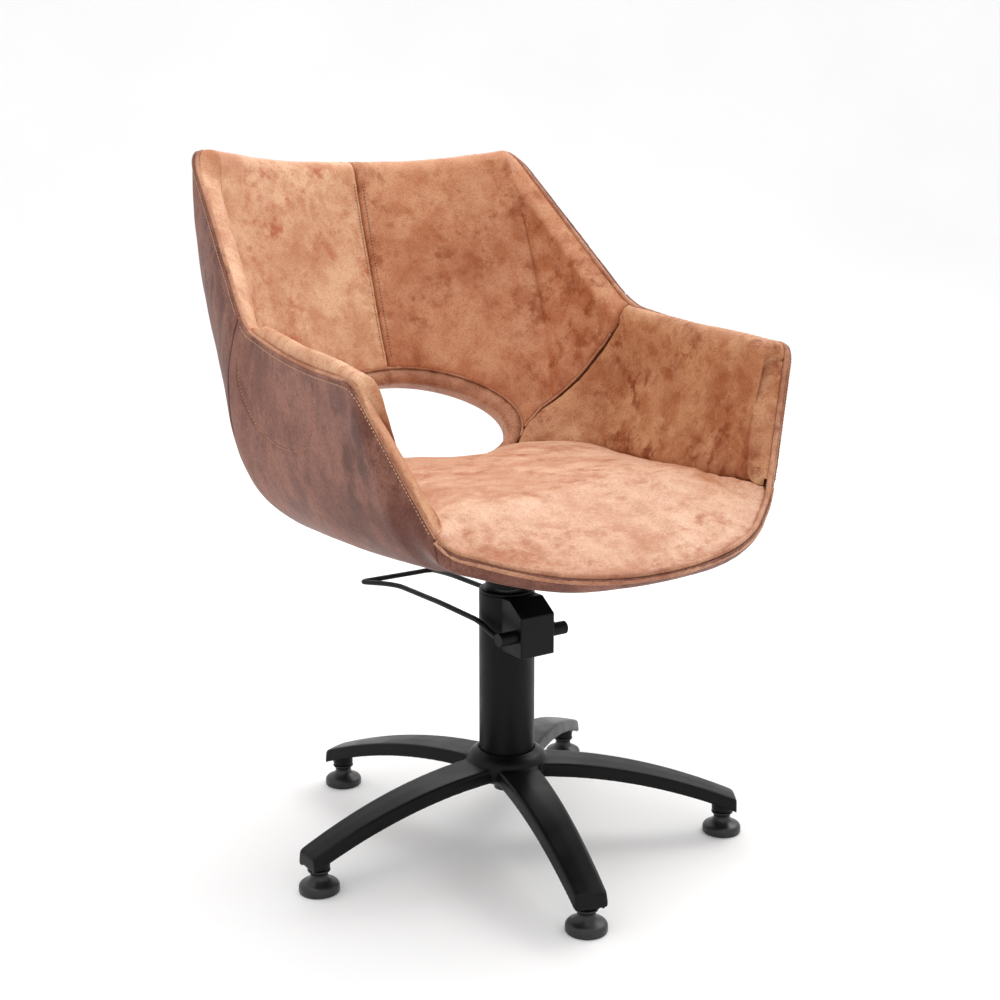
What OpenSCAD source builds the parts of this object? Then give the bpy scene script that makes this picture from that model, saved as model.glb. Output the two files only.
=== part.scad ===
// Hydraulic styling chair: a leather tub seat on a foot-pumped column with a five-leg base.
// Millimetres, +Z up, the sitter faces -Y, origin on the floor under the middle of the whole chair.

/* [Column] */
// Distance from the middle of the chair to the column axis, along Y
column_y = -53; // [-56:1:-50]
// Outer diameter of the pump tube
tube_d = 73; // [70:1:76]
// Height of the top of the pump tube
tube_top = 338; // [334:1:340]
// Diameter of the chromed ram
ram_d = 36; // [34:1:38]

/* [Base] */
// Radius of the circle that the five glides stand on
glide_circle_r = 290; // [270:5:310]
// Direction of the first leg, from +X
first_leg = 110.2; // [90:0.1:126]
// Width of a leg at its tip
leg_tip_w = 39; // [36:1:44]
// Width of a leg at the hub
leg_root_w = 55; // [50:1:60]
// Height of the top of a leg at the hub
leg_root_z = 108; // [104:1:112]
// Diameter of a glide's foot
glide_d = 51; // [44:1:56]

/* [Pedal] */
// Diameter of the pedal wire
wire_d = 7.2; // [6:0.2:8]
// Distance from the column axis back to the foot bar
pedal_reach = 284; // [240:2:300]
// Height of the foot bar at rest
pedal_bar_z = 294; // [280:1:300]

/* [Tub] */
// Wall thickness of the moulded shell
shell_t = 8; // [6:1:10]
// Thickness from the outer leather to the inner leather
wall_t = 36; // [32:1:38]
// Half the width of the back opening, along the tub wall's own divisions
opening_u = 1.63; // [1.2:0.05:1.7]
// Height of the underside of the tub
tub_base_z = 388; // [386:1:392]

/* [Hidden] */

$fn = 48;
eps = 0.01;
running = 0.05;      // radial clearance of a sliding or turning fit
legs = 5;

// ---- heights inside the column ----
hub_floor_z = 92;
hub_under_z = 84;
hub_top_z = 124;
tube_r = tube_d / 2;
tube_wall = 3;
tube_bore_r = tube_r - tube_wall;
plug_t = 14;
plug_top_z = hub_floor_z + plug_t;
ram_r = ram_d / 2;
liner_bore_r = 22;
liner_wall = 3;
liner_r = liner_bore_r + liner_wall;
bush_z = 306;
cap_top_z = tube_top + 5;
head_z = plug_top_z + 0.5;
head_t = 18;
spigot_r = 10;
washer_t = 2;
ram_z = head_z + head_t + washer_t;
mount_z = cap_top_z + 3;
plate_z = tub_base_z - 6;

// ---- pedal ----
shaft_y = -56;
shaft_z = 293;
shaft_r = 6;
block_front_y = -70;
block_half_w = 26;
block_z = 266;
cavity_half_w = 12;
cavity_front_y = -67;
cavity_back_y = -38;
cavity_top_z = 318;
insert_top_z = 282;
plunger_y = -43.4;
plunger_r = 3.6;
plunger_head_r = 4.4;
plunger_head_z = 290;
cam_nose_r = 3;
cam_ring_r = 7.8;
arm_x = 46;
bar_x = 59;
wire_r = wire_d / 2;

// ---- legs ----
leg_depth = 18;
leg_start_r = 43;
leg_end_r = glide_circle_r + 17;
leg_arch_r = 640;
leg_arch_x = 40;
leg_side_slope = 8;
boss_z = 30.3;
boss_r = 14;
stem_r = 5;
stem_top_z = 46;

// ---- tub: four control outlines of one half, from the front centre to the back centre ----
// Each outline has the same nine stations, and the wall is a smooth blend from rim to foot.
RIM = [[0, -314, 424], [144, -306, 440], [246, -230, 472], [324, -177, 654], [321, -32, 660],
       [305, 124, 686], [264, 361, 902], [120, 418, 880], [0, 419, 881]];
SIDE = [[0, -308, 407], [142, -300, 414], [242, -226, 427], [292, -188, 512], [298, -20, 532],
        [345, 150, 572], [305, 290, 620], [120, 335, 620], [0, 345, 620]];
BILGE = [[0, -280, 409], [132, -272, 414], [224, -208, 455], [268, -180, 447], [290, -20, 440],
         [290, 160, 440], [200, 243, 440], [110, 280, 440], [0, 288, 440]];
FOOT = [[0, -110, 0], [50, -108, 0], [85, -95, 0], [95, -80, 0], [105, 0, 0],
        [100, 60, 0], [75, 95, 0], [40, 108, 0], [0, 110, 0]];
SOFT = [1, 1, 0.36, 0.22, 1, 0.30, 0.32, 1, 1];   // how gently an outline turns at each station
BACK = len(RIM) - 1;                              // station of the back centre
LOOP = 2 * BACK;                                  // stations all the way round
toe_pull = 0.12;

function mirror_x(p) = [-p[0], p[1], p[2]];
function whole(half) = concat(half, [for (i = [BACK - 1:-1:1]) mirror_x(half[i])]);
function whole_soft(half) = concat(half, [for (i = [BACK - 1:-1:1]) half[i]]);
rim_loop = whole(RIM);
side_loop = whole(SIDE);
bilge_loop = whole(BILGE);
foot_loop = whole([for (p = FOOT) p + [0, 0, tub_base_z]]);
soft_loop = whole_soft(SOFT);

function wrap(i) = ((i % LOOP) + LOOP) % LOOP;
// A point on a closed outline whose corners are rounded by parabolas
function along(loop, u) =
    let (k = round(u), w = u - k, f = soft_loop[wrap(k)] / 2,
         here = loop[wrap(k)], last = loop[wrap(k - 1)], next = loop[wrap(k + 1)])
    abs(w) > f ? here + (w < 0 ? last - here : next - here) * abs(w)
    : let (t = (w / f + 1) / 2, a = here + (last - here) * f, b = here + (next - here) * f)
      a * pow(1 - t, 2) + here * 2 * t * (1 - t) + b * pow(t, 2);
// A point on the outside of the tub: u runs round it, v from the rim (0) to the foot (1)
function wall(u, v) =
    let (p = along(rim_loop, u), a = along(side_loop, u), b = along(bilge_loop, u),
         f = along(foot_loop, u), toe = b + (f - b) * toe_pull, w = 1 - v)
    p * pow(w, 4) + a * 4 * v * pow(w, 3) + b * 6 * pow(v, 2) * pow(w, 2)
    + toe * 4 * pow(v, 3) * w + f * pow(v, 4);
step_uv = 0.002;
function inward(u, v) =
    let (du = wall(u + step_uv, v) - wall(u - step_uv, v),
         dv = wall(u, min(v + step_uv, 1)) - wall(u, max(v - step_uv, 0)), n = cross(du, dv))
    n / norm(n);
// A point at a depth inside the outer surface
function inside(u, v, depth) = wall(u, v) + inward(u, v) * depth;

// ---- the opening through the lower back ----
opening_v = 0.56;
opening_dv = 0.175;
function opening_reach(u) =
    let (q = (u - BACK) / opening_u) abs(q) < 0.999 ? opening_dv * sqrt(1 - q * q) : 0;
function opening_top(u) = opening_v - opening_reach(u);
function opening_low(u) = opening_v + opening_reach(u);

// ---- layers of the tub wall, as depths from its outside ----
cover_t = 2;
shell_depth = 2.5;
pad_depth = shell_depth + shell_t + 3;
piping_r = 3.4;
piping_depth = 6.6;
piping_v = 0.004;
rim_clear = 21;           // how far the shell's edge stays below the rim
seam_u = 5.05;            // seam between the outer arm and the outer back
border_u = 2.08;          // seam between the seat's front border and the outer arm
under_v = 0.80;           // where the covers give way to the underside cloth
seam_gap = 0.012;

// A closed slab between two grids of points with the same rows and columns
module slab(outer, inner) {
    rows = len(outer);
    cols = len(outer[0]);
    half = rows * cols;
    points = concat([for (r = outer) each r], [for (r = inner) each r]);
    function id(r, c) = r * cols + c;
    function quad(a, b, c, d) = [[a, b, c], [a, c, d]];
    faces = concat(
        [for (r = [0:rows - 2], c = [0:cols - 2])
            each quad(id(r, c), id(r, c + 1), id(r + 1, c + 1), id(r + 1, c))],
        [for (r = [0:rows - 2], c = [0:cols - 2])
            each quad(half + id(r, c), half + id(r + 1, c), half + id(r + 1, c + 1),
                      half + id(r, c + 1))],
        [for (c = [0:cols - 2])
            each quad(id(0, c), half + id(0, c), half + id(0, c + 1), id(0, c + 1))],
        [for (c = [0:cols - 2])
            each quad(id(rows - 1, c), id(rows - 1, c + 1), half + id(rows - 1, c + 1),
                      half + id(rows - 1, c))],
        [for (r = [0:rows - 2])
            each quad(id(r, 0), id(r + 1, 0), half + id(r + 1, 0), half + id(r, 0))],
        [for (r = [0:rows - 2])
            each quad(id(r, cols - 1), half + id(r, cols - 1), half + id(r + 1, cols - 1),
                      id(r + 1, cols - 1))]);
    polyhedron(points, faces, convexity = 8);
}

// Rows of every wall layer: down to the opening, from it to the underside seam, and on to the foot.
// The layers share their rows and columns, so that their facets run side by side.
top_rows = 7;
low_rows = 3;
toe_rows = 3;
function rim_v(u) = rim_clear * step_uv / norm(wall(u, step_uv) - wall(u, 0));
function layer_vs(u, to_rim, to_foot) = concat(
    to_rim ? [0] : [],
    [for (j = [0:top_rows]) rim_v(u) + (opening_top(u) - rim_v(u)) * j / top_rows],
    [for (j = [0:low_rows]) opening_low(u) + (under_v - opening_low(u)) * j / low_rows],
    to_foot ? [for (j = [1:toe_rows]) under_v + (1 - under_v) * j / toe_rows] : []);

// A layer of the tub wall between two depths, with the back opening where it lies inside.
// us lists the stations across. closed joins the last to the first.
module wall_layer(us, depth_a, depth_b, to_rim = true, to_foot = false, closed = false) {
    cols = len(us);
    rows = len(layer_vs(0, to_rim, to_foot));
    edge = top_rows + (to_rim ? 1 : 0);
    function cut(i) = opening_reach(us[i]) > 0;
    function id(s, i, j) =
        (s * cols + i % cols) * rows + (j == edge + 1 && !cut(i % cols) ? edge : j);
    function quad(a, b, c, d) = [[a, b, c], [a, c, d]];
    spans = closed ? cols : cols - 1;
    across = [for (j = [0:rows - 2]) if (j != edge) j];
    mouth = [for (i = [0:spans - 1]) if (cut(i) || cut((i + 1) % cols)) i];
    points = [for (depth = [depth_a, depth_b], u = us, v = layer_vs(u, to_rim, to_foot))
              inside(u, v, depth)];
    faces = concat(
        [for (i = [0:spans - 1], j = across)
            each quad(id(0, i, j), id(0, i + 1, j), id(0, i + 1, j + 1), id(0, i, j + 1))],
        [for (i = [0:spans - 1], j = across)
            each quad(id(1, i, j), id(1, i, j + 1), id(1, i + 1, j + 1), id(1, i + 1, j))],
        [for (i = [0:spans - 1])
            each quad(id(0, i, 0), id(1, i, 0), id(1, i + 1, 0), id(0, i + 1, 0))],
        [for (i = [0:spans - 1])
            each quad(id(0, i, rows - 1), id(0, i + 1, rows - 1), id(1, i + 1, rows - 1),
                      id(1, i, rows - 1))],
        [for (i = mouth)
            each quad(id(0, i, edge), id(0, i + 1, edge), id(1, i + 1, edge), id(1, i, edge))],
        [for (i = mouth)
            each quad(id(0, i, edge + 1), id(1, i, edge + 1), id(1, i + 1, edge + 1),
                      id(0, i + 1, edge + 1))],
        closed ? [] : [for (j = across)
            each quad(id(0, 0, j), id(0, 0, j + 1), id(1, 0, j + 1), id(1, 0, j))],
        closed ? [] : [for (j = across)
            each quad(id(0, cols - 1, j), id(1, cols - 1, j), id(1, cols - 1, j + 1),
                      id(0, cols - 1, j + 1))]);
    whole_faces = [for (f = faces) if (f[0] != f[1] && f[1] != f[2] && f[2] != f[0]) f];
    polyhedron(points, whole_faces, convexity = 10);
}

// Even steps from a to b, both ends in the list
function steps(a, b, n) = [for (i = [0:n]) a + (b - a) * i / n];
// Stations of the panels. Across the opening they are closer together near its ends.
front_us = steps(-border_u + seam_gap, border_u - seam_gap, 16);
arm_us = steps(border_u + seam_gap, seam_u - seam_gap, 14);
opening_us = [for (i = [0:14]) BACK - opening_u * cos(180 * i / 14)];
back_us = concat(steps(seam_u + seam_gap, BACK - opening_u - 0.12, 6), opening_us,
                 steps(BACK + opening_u + 0.12, LOOP - seam_u - seam_gap, 6));
upper_us = concat(arm_us, back_us, [for (i = [len(arm_us) - 1:-1:0]) LOOP - arm_us[i]]);
shell_us = concat([for (u = front_us) if (u >= 0) u], upper_us,
                  [for (u = front_us) if (u < 0) LOOP + u]);

// A round rod swept through points, closed by flat ends
module rod(path, r, sides = 8) {
    n = len(path);
    function unit(v) = v / norm(v);
    function heading(i) = unit(path[min(i + 1, n - 1)] - path[max(i - 1, 0)]);
    function across(i) = unit(cross(heading(i), abs(heading(i)[2]) > 0.9 ? [0, 1, 0] : [0, 0, 1]));
    points = [for (i = [0:n - 1]) let (a = across(i), b = cross(heading(i), a))
              for (k = [0:sides - 1])
              path[i] + (a * cos(360 * k / sides) + b * sin(360 * k / sides)) * r];
    sides_of = [for (i = [0:n - 2], k = [0:sides - 1])
                let (m = (k + 1) % sides)
                each [[i * sides + k, (i + 1) * sides + k, (i + 1) * sides + m],
                      [i * sides + k, (i + 1) * sides + m, i * sides + m]]];
    ends = [[for (k = [0:sides - 1]) k], [for (k = [sides - 1:-1:0]) (n - 1) * sides + k]];
    polyhedron(points, concat(sides_of, ends), convexity = 10);
}

module in_column() {
    translate([0, column_y, 0]) children();
}

// A ring or tube about the column axis
module ring(r_out, r_in, z0, z1) {
    translate([0, 0, z0]) difference() {
        cylinder(h = z1 - z0, r = r_out);
        translate([0, 0, -1]) cylinder(h = z1 - z0 + 2, r = r_in);
    }
}

// ================= base =================
function leg_top(x) = leg_root_z - pow(x - leg_arch_x, 2) / (2 * leg_arch_r);

module leg_solid() {
    stations = steps(leg_start_r, leg_end_r, 12);
    edge = concat([for (x = stations) [x, leg_top(x)]],
                  [for (i = [12:-1:0]) [stations[i], leg_top(stations[i]) - leg_depth]]);
    taper = atan((leg_root_w - leg_tip_w) / 2 / (leg_end_r - leg_arch_x));
    difference() {
        translate([0, 40, 0]) rotate([90, 0, 0]) linear_extrude(80) polygon(edge);
        for (side = [-1, 1])
            translate([leg_end_r, side * leg_tip_w / 2, leg_top(leg_end_r)])
                rotate([side * leg_side_slope, 0, -side * taper])
                    translate([-400, side > 0 ? 0 : -60, -150]) cube([500, 60, 300]);
    }
}

// The casting is hollow underneath
module leg_pocket() {
    roof = 5;
    stations = steps(62, glide_circle_r - 26, 8);
    edge = concat([for (x = stations) [x, leg_top(x) - roof]],
                  [for (i = [8:-1:0]) [stations[i], leg_top(stations[i]) - 60]]);
    translate([0, leg_tip_w / 2 - 6, 0]) rotate([90, 0, 0])
        linear_extrude(leg_tip_w - 12) polygon(edge);
}

module leg() {
    difference() {
        union() {
            leg_solid();
            translate([glide_circle_r, 0, boss_z])
                cylinder(h = leg_top(glide_circle_r) - boss_z - 12, r = boss_r);
        }
        leg_pocket();
        translate([glide_circle_r, 0, boss_z - 1])
            cylinder(h = stem_top_z - boss_z + 2, r = stem_r + running);
    }
}

module star_base() {
    color([0.05, 0.05, 0.055]) in_column() difference() {
        union() {
            for (i = [0:legs - 1]) rotate(first_leg + 360 / legs * i) leg();
            rotate_extrude($fn = 96) polygon([[0, hub_under_z], [50, hub_under_z], [54, 88],
                [54, 106], [51, 112], [45, 117], [42, 120], [41, hub_top_z], [0, hub_top_z]]);
        }
        translate([0, 0, hub_floor_z]) cylinder(h = 60, r = tube_r, $fn = 96);
        translate([0, 0, hub_under_z - 30]) cylinder(h = 60, r = 8.2);
    }
}

module hub_cap() {
    color([0.04, 0.04, 0.045]) in_column() difference() {
        translate([0, 0, 66]) cylinder(h = hub_under_z - 66, r = 17);
        translate([0, 0, 69]) cylinder(h = hub_under_z, r = 14.5);
    }
}

module base_nut() {
    color([0.6, 0.6, 0.62]) in_column() difference() {
        union() {
            translate([0, 0, hub_under_z - 2]) cylinder(h = 2, r = 14);
            translate([0, 0, hub_under_z - 12]) cylinder(h = 10, r = 13, $fn = 6);
        }
        translate([0, 0, hub_under_z - 20]) cylinder(h = 40, r = 8);
    }
}

module pump_tube() {
    color([0.05, 0.05, 0.055]) in_column() ring(tube_r, tube_bore_r, hub_floor_z, tube_top, $fn = 96);
}

module tube_plug() {
    color([0.5, 0.5, 0.52]) in_column() {
        translate([0, 0, hub_floor_z]) cylinder(h = plug_t, r = tube_bore_r, $fn = 96);
        translate([0, 0, hub_under_z - 13]) cylinder(h = hub_floor_z - hub_under_z + 14, r = 8);
    }
}

module pump_liner() {
    color([0.7, 0.7, 0.72]) in_column() ring(liner_r, liner_bore_r, plug_top_z, bush_z, $fn = 72);
}

module guide_bush() {
    color([0.72, 0.56, 0.28]) in_column()
        ring(tube_bore_r, ram_r + running, bush_z, tube_top - 6, $fn = 72);
}

module rod_seal() {
    color([0.1, 0.1, 0.1]) in_column()
        ring(tube_bore_r, ram_r + running, tube_top - 6, tube_top, $fn = 72);
}

module top_cap() {
    color([0.05, 0.05, 0.055]) in_column() difference() {
        rotate_extrude($fn = 96) polygon([[0, tube_top], [tube_r, tube_top],
            [tube_r, cap_top_z - 2], [tube_r - 2, cap_top_z], [0, cap_top_z]]);
        translate([0, 0, tube_top - 1]) cylinder(h = 10, r = ram_r + 0.5, $fn = 72);
    }
}

// ================= pump head and pedal =================
module pump_housing() {
    chamfer_back_y = -44;
    chamfer_z = 320;
    color([0.05, 0.05, 0.055]) in_column() difference() {
        translate([-block_half_w, 0, 0]) rotate([90, 0, 90]) linear_extrude(2 * block_half_w)
            polygon([[0, block_z], [block_front_y, block_z], [block_front_y, chamfer_z],
                     [chamfer_back_y, tube_top], [0, tube_top]]);
        translate([0, 0, block_z - 1]) cylinder(h = 100, r = tube_r, $fn = 96);
        translate([-cavity_half_w, cavity_front_y, block_z - 1])
            cube([2 * cavity_half_w, cavity_back_y - cavity_front_y, cavity_top_z - block_z + 1]);
        translate([-50, shaft_y, shaft_z]) rotate([0, 90, 0]) cylinder(h = 100, r = shaft_r + running);
    }
}

module plunger_block() {
    color([0.55, 0.55, 0.57]) in_column() difference() {
        translate([-cavity_half_w, cavity_front_y, block_z])
            cube([2 * cavity_half_w, cavity_back_y - cavity_front_y, insert_top_z - block_z]);
        translate([0, plunger_y, block_z + 2]) cylinder(h = 30, r = plunger_r + running);
    }
}

module plunger() {
    color([0.7, 0.7, 0.72]) in_column() translate([0, plunger_y, 0]) {
        translate([0, 0, block_z + 6]) cylinder(h = plunger_head_z - block_z - 5.5, r = plunger_r);
        translate([0, 0, plunger_head_z]) cylinder(h = 2, r = plunger_head_r);
    }
}

module plunger_spring() {
    turns = 2.5;
    coil_r = 4.4;
    spring_wire_r = 0.45;
    per_turn = 14;
    first_z = insert_top_z + spring_wire_r;
    last_z = plunger_head_z - spring_wire_r;
    color([0.6, 0.6, 0.62]) in_column() translate([0, plunger_y, 0])
        rod([for (i = [0:turns * per_turn]) let (a = 360 * i / per_turn)
             [coil_r * cos(a), coil_r * sin(a), first_z + (last_z - first_z) * i / (turns * per_turn)]],
            spring_wire_r, 6);
}

module pedal_shaft() {
    color([0.55, 0.55, 0.57]) in_column()
        translate([-arm_x, shaft_y, shaft_z]) rotate([0, 90, 0]) cylinder(h = 2 * arm_x, r = shaft_r);
}

module pedal_cam() {
    half_w = cavity_half_w - 1;
    play = 0.4;
    nose_y = plunger_y - shaft_y;
    nose_z = plunger_head_z + 2 + play + cam_nose_r - shaft_z;
    color([0.4, 0.4, 0.42]) in_column() translate([-half_w, shaft_y, shaft_z]) rotate([90, 0, 90])
        difference() {
            union() {
                cylinder(h = 2 * half_w, r = cam_ring_r);
                translate([nose_y, nose_z, 0]) cylinder(h = 2 * half_w, r = cam_nose_r);
                translate([0, nose_z, 0]) cube([nose_y, cam_nose_r, 2 * half_w]);
            }
            translate([0, 0, -1]) cylinder(h = 2 * half_w + 2, r = shaft_r);
        }
}

// Collars on the ends of the shaft that hold the wire
module pedal_hubs() {
    color([0.05, 0.05, 0.055]) in_column() for (side = [-1, 1])
        translate([side * (block_half_w + 1 + 12.5), shaft_y, shaft_z]) rotate([0, 90, 0])
            difference() {
                cylinder(h = 25, r = 8.6, center = true);
                translate([0, 0, -side * 6.5]) cylinder(h = 26, r = shaft_r, center = true);
                // hole for the end of the wire
                translate([0, 0, side * (arm_x - block_half_w - 13.5)]) rotate([-90, 0, 0])
                    cylinder(h = 20, r = wire_r + 0.1);
            }
}

module pedal_bail() {
    arm_top_z = 306;
    knee = [[arm_x, shaft_y + 6.6, shaft_z], [arm_x, shaft_y + 11, shaft_z],
            [arm_x, shaft_y + 20, shaft_z + 2.5], [arm_x, shaft_y + 34, shaft_z + 7],
            [arm_x, shaft_y + 48, shaft_z + 11], [arm_x, shaft_y + 66, arm_top_z],
            [arm_x, 90, arm_top_z + 1], [arm_x, 186, arm_top_z],
            [arm_x + 1, 204, arm_top_z - 1], [arm_x + 4, 224, arm_top_z - 3]];
    corner = [for (i = [0:5]) let (a = 90 * i / 5)
              [bar_x - 14 + 14 * cos(a), pedal_reach - 14 + 14 * sin(a), pedal_bar_z + 1.5 - 1.5 * i / 5]];
    half = concat(knee, corner);
    last = len(half) - 1;
    color([0.04, 0.04, 0.045]) in_column()
        rod(concat(half, [for (i = [last:-1:0]) mirror_x(half[i])]), wire_r, 10);
}

// ================= ram and piston =================
module piston_head() {
    color([0.6, 0.6, 0.62]) in_column() difference() {
        translate([0, 0, head_z]) cylinder(h = head_t, r = liner_bore_r - running, $fn = 72);
        translate([0, 0, head_z + 4]) cylinder(h = head_t, r = spigot_r + running);
        ring(liner_r, liner_bore_r - 2.5, head_z + 6, head_z + 10, $fn = 72);
    }
}

module piston_seal() {
    color([0.08, 0.08, 0.08]) in_column()
        ring(liner_bore_r - running, liner_bore_r - 2.5, head_z + 6, head_z + 10, $fn = 72);
}

module thrust_washer() {
    color([0.72, 0.56, 0.28]) in_column()
        ring(liner_bore_r - 2, spigot_r + running, head_z + head_t, head_z + head_t + washer_t - 0.1);
}

module ram() {
    color([0.8, 0.8, 0.82]) in_column() {
        translate([0, 0, ram_z]) cylinder(h = plate_z - 4 - ram_z, r = ram_r, $fn = 72);
        translate([0, 0, head_z + 4.5]) cylinder(h = ram_z - head_z - 4, r = spigot_r);
    }
}

// ================= seat structure =================
plate_half = 72;
bolt_place = 52;
module at_bolts() {
    for (x = [-1, 1], y = [-1, 1]) translate([x * bolt_place, y * bolt_place, 0]) children();
}

module rounded_plate(half, r, z0, z1) {
    translate([0, 0, z0]) linear_extrude(z1 - z0) union() {
        square([2 * half, 2 * (half - r)], center = true);
        square([2 * (half - r), 2 * half], center = true);
        for (x = [-1, 1], y = [-1, 1]) translate([x * (half - r), y * (half - r)]) circle(r = r);
    }
}

module seat_mount() {
    color([0.08, 0.08, 0.085]) in_column() difference() {
        union() {
            rounded_plate(plate_half, 16, plate_z, tub_base_z);
            translate([0, 0, mount_z]) cylinder(h = plate_z - mount_z + eps, r = 28, $fn = 72);
        }
        translate([0, 0, mount_z - 1]) cylinder(h = plate_z - 4 - mount_z + 1, r = ram_r, $fn = 72);
        at_bolts() translate([0, 0, plate_z - 1]) cylinder(h = 20, r = 4.3);
    }
}

module mount_bolts() {
    color([0.6, 0.6, 0.62]) in_column() at_bolts() {
        translate([0, 0, plate_z - 5.5]) cylinder(h = 5.5, r = 7, $fn = 6);
        translate([0, 0, plate_z - 1]) cylinder(h = 32, r = 4);
    }
}

module seat_board() {
    step_z = tub_base_z + shell_depth + shell_t + 0.5;
    color([0.75, 0.6, 0.4]) in_column() difference() {
        union() {
            translate([0, 0, tub_base_z]) cylinder(h = step_z - tub_base_z, r = 80);
            translate([0, 0, step_z]) cylinder(h = 12, r = 100, $fn = 72);
        }
        at_bolts() translate([0, 0, tub_base_z - 1]) cylinder(h = 60, r = 4.3);
    }
}

module tee_nuts() {
    top_z = tub_base_z + shell_depth + shell_t + 12.5;
    color([0.6, 0.6, 0.62]) in_column() at_bolts() ring(9, 4, top_z, top_z + 1.5);
}

module tub_shell() {
    color([0.45, 0.36, 0.26]) in_column()
        wall_layer(shell_us, shell_depth, shell_depth + shell_t, to_rim = false, to_foot = true,
                   closed = true);
}

// ================= upholstery =================
leather_out = [0.62, 0.38, 0.27];
leather_in = [0.76, 0.49, 0.33];

module outer_back_cover() {
    color(leather_out) in_column() wall_layer(back_us, 0, cover_t);
}

module outer_arm_cover() {
    wall_layer(arm_us, 0, cover_t);
}

module outer_arm_cover_left() {
    color(leather_out) in_column() mirror([1, 0, 0]) outer_arm_cover();
}

module outer_arm_cover_right() {
    color(leather_out) in_column() outer_arm_cover();
}

module front_border() {
    color(leather_out) in_column() wall_layer(front_us, 0, cover_t);
}

module underside_cover() {
    toe_vs = [for (j = [1:toe_rows]) under_v + (1 - under_v) * j / toe_rows];
    under_vs = concat([under_v + 0.01], toe_vs);
    under_us = concat(shell_us, [LOOP - 0.04]);
    color([0.1, 0.1, 0.1]) in_column()
        slab([for (v = under_vs) [for (u = under_us) wall(u, v)]],
             [for (v = under_vs) [for (u = under_us) inside(u, v, cover_t)]]);
}

// The seam between the back pad and the arm pad, from the rim to the end of the opening
seam_us = [4.97, 5.18, 5.42, 5.70, 5.96, 6.16, 6.24];
seam_vs = [0, 0.16, 0.31, 0.43, 0.51, 0.56, 0.66];
seam_joint = 5 / 6;       // share of the arm's edge that the back pad shares
function list_at(list, s) =
    let (x = s * (len(list) - 1), k = min(floor(x), len(list) - 2), w = x - k)
    list[k] * (1 - w) + list[k + 1] * w;

// Half of the inner back, as a patch: s runs from the arm's seam to the middle, t down the wall
module back_pad() {
    gap = 0.01;
    cols = 10;
    rows = 9;
    band_u = 0.20;        // the pad stops above the band that lines the opening
    band_v = 0.03;
    mid_u = BACK - gap;
    function edge_u(t) = list_at(seam_us, t * seam_joint) + 0.02;
    function edge_v(t) = list_at(seam_vs, t * seam_joint);
    // the lower edge runs round the opening, from its end to its middle
    function low_u(s) = BACK - (opening_u + band_u) * cos(90 * s);
    function low_v(s) = opening_v - (opening_dv + band_v) * sin(90 * s);
    function uv(s, t) =
        let (left = [edge_u(t), edge_v(t)], right = [mid_u, low_v(1) * t],
             top = [edge_u(0) * (1 - s) + mid_u * s, 0], low = [min(low_u(s), mid_u), low_v(s)],
             low_a = [edge_u(1), edge_v(1)], low_b = [mid_u, low_v(1)],
             corners = ([edge_u(0), 0] * (1 - s) + [mid_u, 0] * s) * (1 - t)
                       + (low_a * (1 - s) + low_b * s) * t)
        left * (1 - s) + right * s + top * (1 - t) + low * t - corners;
    grid = [for (t = steps(0, 1, rows)) [for (s = steps(0, 1, cols)) uv(s, t)]];
    slab([for (r = grid) [for (p = r) inside(p[0], p[1], pad_depth)]],
         [for (r = grid) [for (p = r) inside(p[0], p[1], wall_t)]]);
}

// The tuck between the arm pad and the cushion, from the front corner to the opening. The arm pad is a
// patch: s runs from the front corner to the back pad's seam, t from the rim to the tuck.
tuck_us = [2.3, 2.6, 3.0, 3.6, 4.3, 5.0, 5.7, 6.24];
tuck_vs = [0.2, 0.36, 0.50, 0.53, 0.55, 0.59, 0.63, 0.66];
arm_end_u = seam_us[0] - 0.02;
module arm_pad() {
    rows = 8;
    cols = 18;
    function rim_u(s) = tuck_us[0] * (1 - s) + arm_end_u * s;
    function uv(s, t) =
        let (across = list_at(tuck_us, s), down = list_at(tuck_vs, s),
             end_u = list_at(seam_us, t) - 0.02, end_v = list_at(seam_vs, t),
             u = rim_u(s) * (1 - t) + across * t, v = down * t,
             chord_u = rim_u(1) * (1 - t) + tuck_us[len(tuck_us) - 1] * t,
             chord_v = tuck_vs[len(tuck_vs) - 1] * t)
        [u + (end_u - chord_u) * s, v + (end_v - chord_v) * s];
    grid = [for (t = steps(0, 1, rows)) [for (s = steps(0, 1, cols)) uv(s, t)]];
    slab([for (r = grid) [for (p = r) inside(p[0], p[1], pad_depth)]],
         [for (r = grid) [for (p = r) inside(p[0], p[1], wall_t)]]);
}

module back_pad_right() {
    color(leather_in) in_column() back_pad();
}

module back_pad_left() {
    color(leather_in) in_column() mirror([1, 0, 0]) back_pad();
}

module arm_pad_right() {
    color(leather_in) in_column() arm_pad();
}

module arm_pad_left() {
    color(leather_in) in_column() mirror([1, 0, 0]) arm_pad();
}

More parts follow.
